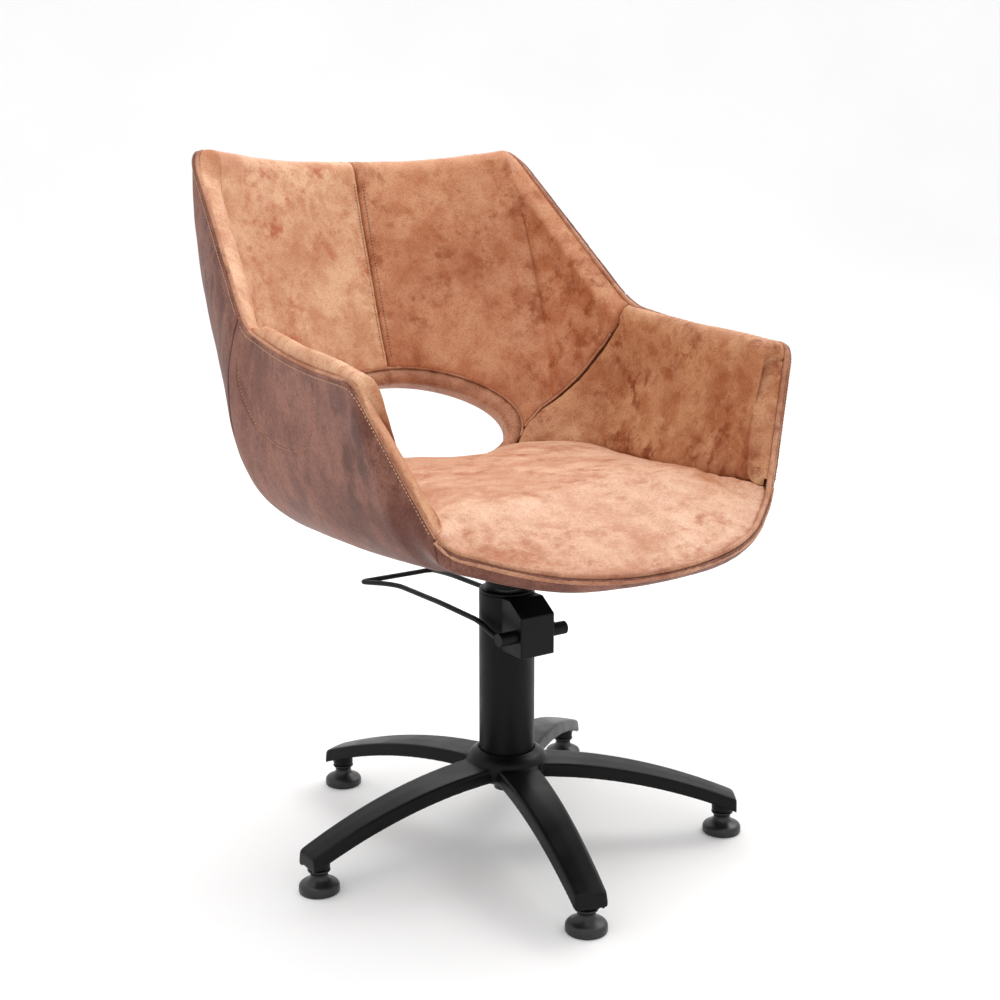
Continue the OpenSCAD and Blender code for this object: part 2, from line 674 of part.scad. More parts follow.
// Edge of the cushion where it tucks into the tub, of one half
TUCK = [[0, -294, 424], [138, -284, 432], [216, -206, 470], [232, -150, 478], [238, -20, 476],
        [224, 118, 468], [150, 180, 464], [70, 198, 462], [0, 201, 462]];
tuck_loop = whole(TUCK);
cushion_top = [0, -25, 503];
module seat_cushion() {
    around = steps(0, LOOP, 40);
    rings = [1, 0.93, 0.8, 0.6, 0.35, 0.12];
    function crown(u, k) =
        let (e = along(tuck_loop, u), p = cushion_top + (e - cushion_top) * k,
             rise = (cushion_top[2] - e[2]) * (1 - pow(k, 4)))
        [p[0], p[1], e[2] + rise];
    function under(u, v) = inside(u, v, shell_depth + shell_t + 2);
    low_z = tub_base_z + shell_depth + shell_t + 16;
    levels = concat([for (k = [len(rings) - 1:-1:0]) [for (u = around) crown(u, rings[k])]],
        [[for (u = around) let (p = under(u, 0.80)) [p[0], p[1], max(p[2], low_z + 6)]]],
        [[for (u = around) let (p = under(u, 0.93)) [p[0] * 0.96, p[1] * 0.96, low_z]]]);
    n = len(around) - 1;
    m = len(levels);
    points = [for (l = levels) for (i = [0:n - 1]) l[i]];
    sides_of = [for (j = [0:m - 2], i = [0:n - 1]) let (k = (i + 1) % n)
                each [[j * n + i, j * n + k, (j + 1) * n + k],
                      [j * n + i, (j + 1) * n + k, (j + 1) * n + i]]];
    caps = [[for (i = [n - 1:-1:0]) i], [for (i = [0:n - 1]) (m - 1) * n + i]];
    color(leather_in) in_column() polyhedron(points, concat(sides_of, caps), convexity = 6);
}

module rim_piping() {
    color(leather_out) in_column()
        rod([for (u = concat([border_u], upper_us, [LOOP - border_u])) inside(u, piping_v, piping_depth)],
            piping_r, 8);
}

module seat_piping() {
    color(leather_out) in_column()
        rod([for (u = front_us) if (abs(u) < border_u - 0.03) inside(u, piping_v, piping_depth)],
            piping_r, 8);
}

module opening_piping() {
    color(leather_out) in_column()
        rod([for (u = [for (i = [1:19]) BACK - (opening_u - 0.03) * cos(9 * i)])
             inside(u, opening_top(u) + 0.012, wall_t - 5)], piping_r - 0.6, 8);
}

// ================= glides =================
module glide(i) {
    color([0.06, 0.06, 0.065]) in_column() rotate(first_leg + 360 / legs * i)
        translate([glide_circle_r, 0, 0]) {
            rotate_extrude($fn = 60) polygon([[0, 0], [glide_d / 2 - 1.5, 0], [glide_d / 2, 1.5],
                [glide_d / 2, 8.5], [glide_d / 2 - 1.5, 11.5], [18, 15], [13, 17.5], [11, 21],
                [11.5, 25], [14, 29], [14.5, 30], [0, 30]]);
            translate([0, 0, 29]) cylinder(h = stem_top_z - 29, r = stem_r);
        }
}

module glide_1() {
    glide(0);
}

module glide_2() {
    glide(1);
}

module glide_3() {
    glide(2);
}

module glide_4() {
    glide(3);
}

module glide_5() {
    glide(4);
}

star_base();
hub_cap();
base_nut();
pump_tube();
tube_plug();
pump_liner();
guide_bush();
rod_seal();
top_cap();
pump_housing();
plunger_block();
plunger();
plunger_spring();
pedal_shaft();
pedal_cam();
pedal_hubs();
pedal_bail();
piston_head();
piston_seal();
thrust_washer();
ram();
seat_mount();
mount_bolts();
seat_board();
tee_nuts();
tub_shell();
outer_back_cover();
outer_arm_cover_left();
outer_arm_cover_right();
front_border();
underside_cover();
back_pad_left();
back_pad_right();
arm_pad_left();
arm_pad_right();
seat_cushion();
rim_piping();
seat_piping();
opening_piping();
glide_1();
glide_2();
glide_3();
glide_4();
glide_5();
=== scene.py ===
"""Looks of the hydraulic styling chair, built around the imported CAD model.

Tub shapes are worked out in millimetres from the column axis, and place() turns them into metres in
the frame. u runs round the tub in stations (0 front centre, 3 arm tip, 5 arm and back, 8 back centre,
then mirrored), v runs down the wall from the rim (0) to the foot (1), and a depth goes inwards from
the outside of the leather.
"""

import math

import bmesh
import bpy
import numpy as np
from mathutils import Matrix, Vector
from mathutils.kdtree import KDTree


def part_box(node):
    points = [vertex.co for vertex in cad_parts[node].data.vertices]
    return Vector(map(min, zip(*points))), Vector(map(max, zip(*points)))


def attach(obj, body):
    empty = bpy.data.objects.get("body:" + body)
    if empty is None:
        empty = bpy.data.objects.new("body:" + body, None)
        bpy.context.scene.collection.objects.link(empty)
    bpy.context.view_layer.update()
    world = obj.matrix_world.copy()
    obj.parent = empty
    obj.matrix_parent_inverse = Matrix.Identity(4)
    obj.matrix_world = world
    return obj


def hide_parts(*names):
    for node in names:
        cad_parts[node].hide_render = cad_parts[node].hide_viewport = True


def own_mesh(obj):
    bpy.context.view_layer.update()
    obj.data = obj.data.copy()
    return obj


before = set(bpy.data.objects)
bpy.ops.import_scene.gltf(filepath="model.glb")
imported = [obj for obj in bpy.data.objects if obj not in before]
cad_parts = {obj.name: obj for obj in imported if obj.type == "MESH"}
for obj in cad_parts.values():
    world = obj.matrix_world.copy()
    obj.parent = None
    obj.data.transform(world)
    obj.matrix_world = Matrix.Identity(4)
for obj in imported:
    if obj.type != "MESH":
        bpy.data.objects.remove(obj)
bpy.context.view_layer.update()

MM = 0.001


def middle(node):
    """The middle of a CAD node's box, in metres."""
    low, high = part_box(node)
    return (low + high) / 2


COLUMN = middle("pump_tube")
COLUMN.z = 0
TUBE_R = (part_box("pump_tube")[1].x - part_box("pump_tube")[0].x) / 2 / MM
TUBE_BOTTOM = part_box("pump_tube")[0].z / MM
TUBE_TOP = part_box("pump_tube")[1].z / MM
TUB_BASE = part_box("seat_mount")[1].z / MM


# ================================================================ the tub's surface

RIM = [(0, -314, 424), (144, -306, 440), (246, -230, 472), (324, -177, 654), (321, -32, 660),
       (305, 124, 686), (264, 361, 902), (120, 418, 880), (0, 419, 881)]
SIDE = [(0, -308, 407), (142, -300, 414), (242, -226, 427), (292, -188, 512), (298, -20, 532),
        (345, 150, 572), (305, 290, 620), (120, 335, 620), (0, 345, 620)]
BILGE = [(0, -280, 409), (132, -272, 414), (224, -208, 455), (268, -180, 447), (290, -20, 440),
         (290, 160, 440), (200, 243, 440), (110, 280, 440), (0, 288, 440)]
FOOT = [(0, -110), (50, -108), (85, -95), (95, -80), (105, 0), (100, 60), (75, 95), (40, 108),
        (0, 110)]
SOFT = [1, 1, 0.36, 0.22, 1, 0.30, 0.32, 1, 1]      # how gently the outline turns at each station
BACK = len(RIM) - 1
LOOP = 2 * BACK
TOE_PULL = 0.12                                     # how far the wall's last curve leans to the foot


def whole(half):
    """A closed outline from one half of it, from the front centre to the back centre."""
    half = np.array(half, float)
    other = half[1:-1][::-1].copy()
    other[:, 0] *= -1
    return np.vstack([half, other])


RIM_LOOP = whole(RIM)
SIDE_LOOP = whole(SIDE)
BILGE_LOOP = whole(BILGE)
FOOT_LOOP = whole([(x, y, TUB_BASE) for x, y in FOOT])
SOFT_LOOP = np.array(SOFT + SOFT[1:-1][::-1], float)


def along(loop, u):
    """Points on a closed outline whose corners are rounded by parabolas."""
    u = np.asarray(u, float) % LOOP
    nearest = np.floor(u + 0.5)
    i = nearest.astype(int) % LOOP
    w = (u - nearest)[..., None]
    f = (SOFT_LOOP[i] / 2)[..., None]
    here = loop[i]
    last = loop[(i - 1) % LOOP]
    after = loop[(i + 1) % LOOP]
    a = here + (last - here) * f
    b = here + (after - here) * f
    t = np.clip((w / f + 1) / 2, 0, 1)
    curve = a * (1 - t) ** 2 + here * 2 * t * (1 - t) + b * t ** 2
    straight = here + np.where(w < 0, last - here, after - here) * np.abs(w)
    return np.where(np.abs(w) <= f, curve, straight)


def wall(u, v):
    """Points on the outside of the tub."""
    v = np.asarray(v, float)[..., None]
    w = 1 - v
    p = along(RIM_LOOP, u)
    a = along(SIDE_LOOP, u)
    b = along(BILGE_LOOP, u)
    foot = along(FOOT_LOOP, u)
    toe = b + (foot - b) * TOE_PULL
    return (p * w ** 4 + a * 4 * v * w ** 3 + b * 6 * v ** 2 * w ** 2 + toe * 4 * v ** 3 * w
            + foot * v ** 4)


STEP_UV = 0.002


def inward(u, v):
    """Unit normals that point into the tub."""
    v = np.asarray(v, float)
    across = wall(u + STEP_UV, v) - wall(u - STEP_UV, v)
    down = wall(u, np.minimum(v + STEP_UV, 1)) - wall(u, np.maximum(v - STEP_UV, 0))
    n = np.cross(across, down)
    return n / np.linalg.norm(n, axis=-1, keepdims=True)


def inside(u, v, depth, rise=0.0):
    """Points at a depth in mm inside the outer surface, and a rise in mm up along the wall."""
    u, v, depth, rise = np.broadcast_arrays(u, v, depth, rise)
    up = wall(u, np.zeros_like(v)) - wall(u, np.full_like(v, STEP_UV * 5))
    up = up / np.linalg.norm(up, axis=-1, keepdims=True)
    return wall(u, v) + inward(u, v) * depth[..., None] + up * rise[..., None]


def v_length(u):
    """How many mm of wall one unit of v is, next to the rim."""
    u = np.asarray(u, float)
    step = np.full_like(u, STEP_UV * 5)
    return np.linalg.norm(wall(u, step) - wall(u, step * 0), axis=-1) / (STEP_UV * 5)


def place(points):
    """Column millimetres to metres in the frame."""
    return np.asarray(points, float) * MM + np.array(COLUMN)


# the opening through the lower back: its middle, and half its height and width
OPENING_V = 0.56
OPENING_DV = 0.175
OPENING_U = 1.63


def opening_reach(u):
    """Half the opening's height at a station, as a share of the wall."""
    q = (np.asarray(u, float) - BACK) / OPENING_U
    return OPENING_DV * np.sqrt(np.clip(1 - q * q, 0, 1))


def ring_uv(angle, out):
    """Stations and places down the wall round the opening, out mm beyond its edge. Angle 0 is at +u."""
    du = np.cos(angle)
    dv = -np.sin(angle)
    u = BACK + OPENING_U * du
    v = OPENING_V + OPENING_DV * dv
    # the way away from the edge, square to it in real millimetres
    mm_u = np.linalg.norm(wall(u + STEP_UV, v) - wall(u - STEP_UV, v), axis=-1) / (2 * STEP_UV)
    mm_v = np.linalg.norm(wall(u, v + STEP_UV) - wall(u, v - STEP_UV), axis=-1) / (2 * STEP_UV)
    edge_u = -np.sin(angle) * OPENING_U * mm_u
    edge_v = -np.cos(angle) * OPENING_DV * mm_v
    length = np.hypot(edge_u, edge_v)
    away_u = -edge_v / length
    away_v = edge_u / length
    return u + away_u * out / mm_u, v + away_v * out / mm_v


def opening_ring(angle, out, depth):
    """Points round the opening, out mm beyond its edge and at a depth."""
    u, v = ring_uv(angle, out)
    return inside(u, v, depth)


# layers of the wall, as depths from the outside
COVER_T = 2.0
PAD_DEPTH = 13.5
PAD_TOP = 36.0
PIPING_R = 3.4
PIPING_DEPTH = 6.6
UNDER_V = 0.80

# seams, in stations
ARM_BACK_U = 5.05
BORDER_U = 2.08
INNER_SEAM_U = [4.97, 5.18, 5.42, 5.70, 5.96, 6.16, 6.24]
INNER_SEAM_V = [0, 0.16, 0.31, 0.43, 0.51, 0.56, 0.66]
SEAM_JOINT = 5 / 6                      # share of the arm's edge that the back pad shares
TUCK_U = [2.12, 2.5, 3.0, 3.6, 4.3, 5.0, 5.7, 6.24]
TUCK_V = [0.06, 0.36, 0.50, 0.53, 0.55, 0.59, 0.63, 0.66]
BAND = 20.0                             # width in mm of the band that lines the opening


def smooth_list(values, t):
    """Values read off evenly spaced points with a smooth curve through them, t from 0 to 1."""
    values = np.asarray(values, float)
    x = np.clip(np.asarray(t, float), 0, 1) * (len(values) - 1)
    k = np.clip(np.floor(x).astype(int), 0, len(values) - 2)
    w = x - k
    slope = np.gradient(values)
    a, b, da, db = values[k], values[k + 1], slope[k], slope[k + 1]
    return ((2 * w ** 3 - 3 * w ** 2 + 1) * a + (w ** 3 - 2 * w ** 2 + w) * da
            + (3 * w ** 2 - 2 * w ** 3) * b + (w ** 3 - w ** 2) * db)


# ================================================================ noise for folds and puckers

RNG = np.random.default_rng(7)
WAVES = 14
WAVE_DIRECTION = RNG.normal(size=(WAVES, 3))
WAVE_PHASE = RNG.uniform(0, 2 * math.pi, WAVES)
WAVE_STRETCH = RNG.uniform(0.6, 1.7, WAVES)


def soft_noise(points, size, seed):
    """Smooth noise from -1 to 1 at points in mm, with bumps about size mm across."""
    total = np.zeros(np.shape(points)[:-1])
    for i in range(WAVES):
        turn = WAVE_DIRECTION[i] * WAVE_STRETCH[(i + seed) % WAVES]
        total = total + np.sin(points @ turn * (2.2 / size) + WAVE_PHASE[i] * (seed + 1))
    return total / math.sqrt(WAVES) * 0.75


# ================================================================ meshes

def new_piece(name, verts, faces, body, material, smooth=True):
    """A mesh piece that rides on a body and takes a material slot."""
    mesh = bpy.data.meshes.new(name)
    mesh.from_pydata([tuple(p) for p in verts], [], [tuple(f) for f in faces])
    mesh.validate()
    tidy = bmesh.new()
    tidy.from_mesh(mesh)
    bmesh.ops.remove_doubles(tidy, verts=tidy.verts, dist=2e-6)
    bmesh.ops.dissolve_degenerate(tidy, edges=tidy.edges, dist=2e-6)
    bmesh.ops.recalc_face_normals(tidy, faces=tidy.faces)
    tidy.to_mesh(mesh)
    tidy.free()
    mesh.polygons.foreach_set("use_smooth", [smooth] * len(mesh.polygons))
    piece = bpy.data.objects.new(name, mesh)
    bpy.context.scene.collection.objects.link(piece)
    mesh.materials.append(material)
    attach(piece, body)
    return piece


def grid_faces(rows, cols, start=0, flip=False, closed=False):
    """Quads of a grid of points that is stored row by row."""
    faces = []
    last = cols if closed else cols - 1
    for r in range(rows - 1):
        for c in range(last):
            d = (c + 1) % cols
            quad = (start + r * cols + c, start + r * cols + d, start + (r + 1) * cols + d,
                    start + (r + 1) * cols + c)
            faces.append(quad[::-1] if flip else quad)
    return faces


def slab(front, back):
    """A closed solid between two grids of points with the same rows and columns."""
    rows, cols = front.shape[:2]
    half = rows * cols
    faces = grid_faces(rows, cols) + grid_faces(rows, cols, half, flip=True)
    border = ([(0, c) for c in range(cols - 1)] + [(r, cols - 1) for r in range(rows - 1)]
              + [(rows - 1, c) for c in range(cols - 1, 0, -1)]
              + [(r, 0) for r in range(rows - 1, 0, -1)])
    ids = [r * cols + c for r, c in border]
    for a, b in zip(ids, ids[1:] + ids[:1]):
        faces.append((a, half + a, half + b, b))
    return np.concatenate([front.reshape(-1, 3), back.reshape(-1, 3)]), faces


def frames_along(path):
    """Side and up directions along a path, turned as little as possible."""
    heading = np.gradient(path, axis=0)
    heading /= np.linalg.norm(heading, axis=1, keepdims=True)
    side = np.zeros_like(path)
    first = np.cross(heading[0], (0, 0, 1))
    if np.linalg.norm(first) < 0.2:
        first = np.cross(heading[0], (0, 1, 0))
    side[0] = first / np.linalg.norm(first)
    for i in range(1, len(path)):
        s = side[i - 1] - heading[i] * (side[i - 1] @ heading[i])
        side[i] = s / np.linalg.norm(s)
    return side, np.cross(heading, side)


def capped_faces(rows, sides):
    """Faces of a closed grid whose first and last rings close onto the two points stored after it."""
    first = rows * sides
    last = (rows - 1) * sides
    faces = grid_faces(rows, sides, closed=True)
    faces += [(first, (k + 1) % sides, k) for k in range(sides)]
    faces += [(first + 1, last + k, last + (k + 1) % sides) for k in range(sides)]
    return faces


def tube(path, radius, sides):
    """A round tube along points in metres. radius is one number or one for each point."""
    path = np.asarray(path, float)
    n = len(path)
    radius = np.broadcast_to(radius, (n,))
    side, up = frames_along(path)
    angle = np.arange(sides) * 2 * math.pi / sides
    ring = (side[:, None, :] * np.cos(angle)[None, :, None]
            + up[:, None, :] * np.sin(angle)[None, :, None])
    points = (path[:, None, :] + ring * radius[:, None, None]).reshape(-1, 3)
    return np.concatenate([points, path[:1], path[-1:]]), capped_faces(n, sides)


def lathe(outline, sides):
    """A solid turned about Z from (radius, height) points in mm, first and last on the axis."""
    outline = np.asarray(outline, float)
    angle = np.arange(sides) * 2 * math.pi / sides
    ring = outline[1:-1]
    points = [(r * math.cos(a), r * math.sin(a), z) for r, z in ring for a in angle]
    points += [(0, 0, outline[0][1]), (0, 0, outline[-1][1])]
    return np.array(points), capped_faces(len(ring), sides)


def rounded(outline, radius, steps):
    """A line of points with its corners rounded by parabolas. Its ends stay."""
    outline = [np.array(p, float) for p in outline]
    result = [outline[0]]
    for last, here, after in zip(outline, outline[1:], outline[2:]):
        to_last = last - here
        to_next = after - here
        reach = min(radius, np.linalg.norm(to_last) * 0.48, np.linalg.norm(to_next) * 0.48)
        a = here + to_last / np.linalg.norm(to_last) * reach
        b = here + to_next / np.linalg.norm(to_next) * reach
        for t in np.linspace(0, 1, steps):
            result.append(a * (1 - t) ** 2 + here * 2 * t * (1 - t) + b * t ** 2)
    result.append(outline[-1])
    return result


def joined(parts):
    """Several (points, faces) as one."""
    points, faces, start = [], [], 0
    for p, f in parts:
        points.append(np.asarray(p, float))
        faces += [tuple(i + start for i in face) for face in f]
        start += len(p)
    return np.concatenate(points), faces


def mirrored(points):
    """Points in column mm mirrored to the chair's other side."""
    points = np.array(points, float)
    points[..., 0] *= -1
    return points


def run_of(path):
    """How far along a path each of its points is."""
    return np.concatenate([[0], np.cumsum(np.linalg.norm(np.diff(path, axis=0), axis=1))])


def read_off(where, run, path):
    """Points at some distances along a path whose own points lie at the distances in run."""
    return np.stack([np.interp(where, run, path[:, i]) for i in range(3)], axis=1)


def cubic(a, b, c, d, k):
    """A cubic curve from a to d that b and c steer, k from 0 to 1."""
    return a * (1 - k) ** 3 + b * 3 * k * (1 - k) ** 2 + c * 3 * k ** 2 * (1 - k) + d * k ** 3


def shape_steps(count, ease=0.0):
    """Even steps from 0 to 1, drawn towards both ends by ease from 0 to 1."""
    t = np.linspace(0, 1, count)
    return t * (1 - ease) + (1 - np.cos(math.pi * t)) / 2 * ease


# ================================================================ materials

class Nodes:
    """Short calls for building a node tree."""

    def __init__(self, name):
        self.material = bpy.data.materials.new(name)
        self.material.use_nodes = True
        self.tree = self.material.node_tree
        self.tree.nodes.clear()
        self.shader = self.tree.nodes.new("ShaderNodeBsdfPrincipled")
        output = self.tree.nodes.new("ShaderNodeOutputMaterial")
        self.link(self.shader.outputs["BSDF"], output.inputs["Surface"])
        self.place = self.tree.nodes.new("ShaderNodeTexCoord").outputs["Object"]

    def link(self, source, target):
        self.tree.links.new(source, target)

    def set(self, socket, value):
        if isinstance(value, bpy.types.NodeSocket):
            self.link(value, socket)
        else:
            socket.default_value = value

    def add(self, kind, **inputs):
        """A node of a kind, with a value or a link on each named input."""
        node = self.tree.nodes.new("ShaderNode" + kind)
        for key, value in inputs.items():
            self.set(node.inputs[key.replace("_", " ")], value)
        return node

    def noise(self, scale, detail=4.0, rough=0.55, warp=0.0, vector=None, out="Fac"):
        node = self.add("TexNoise", Vector=vector or self.place, Scale=scale, Detail=detail,
                        Roughness=rough, Distortion=warp)
        return node.outputs[out]

    def cells(self, scale, vector=None, random=1.0):
        node = self.add("TexVoronoi", Vector=vector or self.place, Scale=scale, Randomness=random)
        return node.outputs["Distance"]

    def math(self, operation, a, b=0.0):
        node = self.add("Math")
        node.operation = operation
        for socket, value in zip(node.inputs, (a, b)):
            self.set(socket, value)
        return node.outputs["Value"]

    def remap(self, value, low, high, to_low=0.0, to_high=1.0):
        node = self.add("MapRange", Value=value, From_Min=low, From_Max=high, To_Min=to_low,
                        To_Max=to_high)
        node.interpolation_type = "SMOOTHSTEP"
        return node.outputs["Result"]

    def moved(self, offset, scale=(1, 1, 1)):
        return self.add("Mapping", Vector=self.place, Location=offset, Scale=scale).outputs["Vector"]

    def blend(self, factor, a, b, kind):
        node = self.add("Mix")
        node.data_type = "RGBA"
        node.blend_type = kind
        for key, value in (("Factor", factor), ("A", a), ("B", b)):
            self.set(node.inputs[key], value)
        return node.outputs["Result"]

    def bent(self, scale, amount):
        """Coordinates bent by noise, so that patterns wander."""
        wander = self.noise(scale, detail=2.0, out="Color")
        return self.blend(amount, self.place, wander, "LINEAR_LIGHT")

    def mix(self, factor, a, b):
        return self.blend(factor, a, b, "MIX")

    def bump(self, height, strength, distance, normal=None):
        node = self.add("Bump", Height=height, Strength=strength, Distance=distance)
        if normal is not None:
            self.link(normal, node.inputs["Normal"])
        return node.outputs["Normal"]

    def finish(self, colour, rough, normal=None, **fixed):
        self.set(self.shader.inputs["Base Color"], colour)
        self.set(self.shader.inputs["Roughness"], rough)
        for key, value in fixed.items():
            self.shader.inputs[key.replace("_", " ")].default_value = value
        if normal is not None:
            self.link(normal, self.shader.inputs["Normal"])
        return self.material


def srgb(r, g, b):
    """A linear colour from 0 to 255 display values."""
    def line(x):
        x /= 255
        return x / 12.92 if x <= 0.04045 else ((x + 0.055) / 1.055) ** 2.4
    return (line(r), line(g), line(b), 1.0)


def leather(name, tones, shift, rust, streak=(1, 1, 1)):
    """Waxed pull-up leather: mottled sand, soft rusty clouds, pale wisps and a fine dark grain.

    tones are the pale, base, deep and rusty colours, and rust is how strong the clouds are. shift
    moves the pattern, so that panels cut from different hides don't continue each other, and streak
    stretches it.
    """
    n = Nodes(name)
    pale, base, deep, rusty = tones
    moved = n.moved(shift, streak)
    mottle = n.noise(24.0, detail=6.0, rough=0.64, warp=0.25, vector=moved)
    drift = n.noise(6.5, detail=3.0, rough=0.5, vector=moved)
    colour = n.mix(n.remap(mottle, 0.40, 0.64), base, pale)
    colour = n.mix(n.remap(drift, 0.42, 0.66, 0.0, 0.75), colour, deep)
    blots = n.noise(42.0, detail=7.0, rough=0.66, warp=0.2, vector=moved)
    where = n.noise(9.5, detail=2.0, rough=0.5, vector=moved)
    cloud = n.math("MULTIPLY", n.remap(blots, 0.46, 0.63), n.remap(where, 0.42, 0.58))
    colour = n.mix(n.math("MULTIPLY", cloud, rust), colour, rusty)
    for size, wide, most in ((19.0, 0.10, 0.50), (46.0, 0.12, 0.42)):
        wisp = n.noise(size, detail=7.0, rough=0.66, warp=0.2, vector=moved)
        ridge = n.math("ABSOLUTE", n.math("SUBTRACT", wisp, 0.5))
        band = n.noise(size * 0.4, detail=2.0, vector=moved)
        veil = n.math("MULTIPLY", n.remap(ridge, 0.0, wide, most, 0.0), n.remap(band, 0.42, 0.60))
        colour = n.mix(veil, colour, pale)
    speckle = n.noise(430.0, detail=4.0, rough=0.78, vector=moved)
    colour = n.mix(n.remap(speckle, 0.46, 0.64, 0.0, 0.42), colour, rusty)
    colour = n.mix(n.remap(speckle, 0.30, 0.44, 0.30, 0.0), colour, pale)
    pores = n.cells(900.0, vector=n.bent(160.0, 0.004))
    grain = n.noise(620.0, detail=3.0, rough=0.6)
    tooth = n.math("ADD", n.math("MULTIPLY", pores, 0.7), n.math("MULTIPLY", grain, 0.6))
    normal = n.bump(tooth, 0.34, 0.0004)
    wrinkle = n.noise(95.0, detail=5.0, rough=0.62, warp=0.4, vector=moved)
    normal = n.bump(wrinkle, 0.24, 0.0010, normal)
    rough = n.remap(mottle, 0.3, 0.7, 0.44, 0.58)
    rough = n.math("ADD", rough, n.math("MULTIPLY", n.math("SUBTRACT", speckle, 0.5), 0.25))
    return n.finish(colour, rough, normal, Specular_IOR_Level=0.22, Coat_Weight=0.03,
                    Coat_Roughness=0.34)


def thread_material(name, colour, dark):
    """Thread, or the painted shade of a needle hole, with a very fine mottle."""
    n = Nodes(name)
    ply = n.noise(1600.0, detail=2.0)
    mixed = n.mix(n.remap(ply, 0.35, 0.65), colour, dark)
    return n.finish(mixed, 0.62, n.bump(ply, 0.5, 0.0002))


def powder_coat(name, colour, light, rough):
    """Semi-gloss powder coat: orange peel, dust-fine texture and slight cloudiness."""
    n = Nodes(name)
    cloud = n.noise(24.0, detail=4.0)
    dust = n.noise(2400.0, detail=2.0)
    shade = n.mix(n.remap(cloud, 0.3, 0.7, 0.0, 0.5), colour, light)
    shade = n.mix(n.remap(dust, 0.55, 0.75, 0.0, 0.35), shade, light)
    peel = n.noise(520.0, detail=2.0, rough=0.45)
    normal = n.bump(peel, 0.18, 0.0004)
    gloss = n.math("ADD", n.remap(cloud, 0.3, 0.7, rough - 0.05, rough + 0.06),
                   n.math("MULTIPLY", dust, 0.06))
    return n.finish(shade, gloss, normal, Specular_IOR_Level=0.13, Coat_Weight=0.03,
                    Coat_Roughness=0.24)


def metal(name, colour, dark, rough):
    """Turned metal with fine lines round it and faint stains."""
    n = Nodes(name)
    brushed = n.noise(60.0, detail=4.0, rough=0.7, vector=n.moved((0, 0, 0), (1, 1, 40)))
    stain = n.noise(30.0, detail=5.0)
    shade = n.mix(n.remap(stain, 0.45, 0.75, 0.0, 0.6), colour, dark)
    gloss = n.math("ADD", n.remap(brushed, 0.2, 0.8, rough * 0.7, rough * 1.3),
                   n.remap(stain, 0.4, 0.8, 0.0, 0.08))
    return n.finish(shade, gloss, n.bump(brushed, 0.08, 0.0002), Metallic=1.0)


def rubber(name, colour, dusty, rough):
    """Moulded rubber or nylon: matt, with a fine even texture and pale dust."""
    n = Nodes(name)
    fine = n.noise(1400.0, detail=3.0)
    dust = n.noise(45.0, detail=5.0, rough=0.6)
    shade = n.mix(n.remap(dust, 0.5, 0.8, 0.0, 0.4), colour, dusty)
    gloss = n.remap(dust, 0.3, 0.8, rough - 0.08, rough + 0.1)
    return n.finish(shade, gloss, n.bump(fine, 0.16, 0.0003))


def plywood(name):
    """Birch ply: veneer lines on the edges and long grain on the faces."""
    n = Nodes(name)
    plies = n.noise(30.0, detail=1.0, vector=n.moved((0, 0, 0), (0.1, 0.1, 26.0)))
    grain = n.noise(26.0, detail=6.0, rough=0.65, warp=0.6, vector=n.moved((0, 0, 0), (9.0, 1.0, 1.0)))
    shade = n.mix(n.remap(grain, 0.35, 0.7), srgb(214, 180, 132), srgb(176, 136, 90))
    shade = n.mix(n.remap(plies, 0.48, 0.6, 0.0, 0.5), shade, srgb(140, 100, 62))
    return n.finish(shade, n.remap(grain, 0.3, 0.7, 0.5, 0.7), n.bump(grain, 0.25, 0.0004))


def dust_cloth(name):
    """Black non-woven dust cloth: pressed dimples and loose fibres."""
    n = Nodes(name)
    dimples = n.cells(420.0, random=0.25)
    fibres = n.noise(380.0, detail=4.0, rough=0.75, warp=2.2)
    shade = n.mix(n.remap(fibres, 0.40, 0.68), srgb(24, 23, 24), srgb(58, 56, 56))
    height = n.math("ADD", n.math("MULTIPLY", dimples, 0.8), n.math("MULTIPLY", fibres, 0.5))
    return n.finish(shade, n.remap(fibres, 0.3, 0.7, 0.78, 0.95), n.bump(height, 0.5, 0.0006))


def tones(*colours):
    """Linear colours from display values from 0 to 255."""
    return [srgb(*c) for c in colours]


# pale, base, deep and rusty tones of the leather; the darker sets for the right back, the right arm and
# the outside are painted shade, for panels that face away from the key lamp
SANDY = tones((222, 178, 143), (194, 140, 104), (176, 112, 76), (164, 80, 42))
# painted shade: the sandy leather darkened for the right half of the back, which faces away from the
# key lamp
SHADED_BACK_RIGHT = tones((204, 150, 114), (180, 115, 79), (158, 91, 56), (138, 66, 30))
# painted shade: the sandy leather darkened further for the right arm's inner side, which faces away
# from the key lamp
SHADED_ARM_RIGHT = tones((204, 155, 116), (174, 115, 77), (148, 83, 48), (128, 58, 25))
CREAM = tones((222, 182, 155), (196, 146, 118), (178, 118, 86), (162, 90, 54))
# painted shade: the leather made much darker and duller for the outer panels, which face away from the
# key lamp
SHADED_OUTSIDE = tones((150, 102, 86), (112, 66, 53), (88, 46, 35), (66, 28, 18))
EDGED = tones((196, 146, 116), (166, 110, 81), (140, 82, 56), (112, 56, 32))

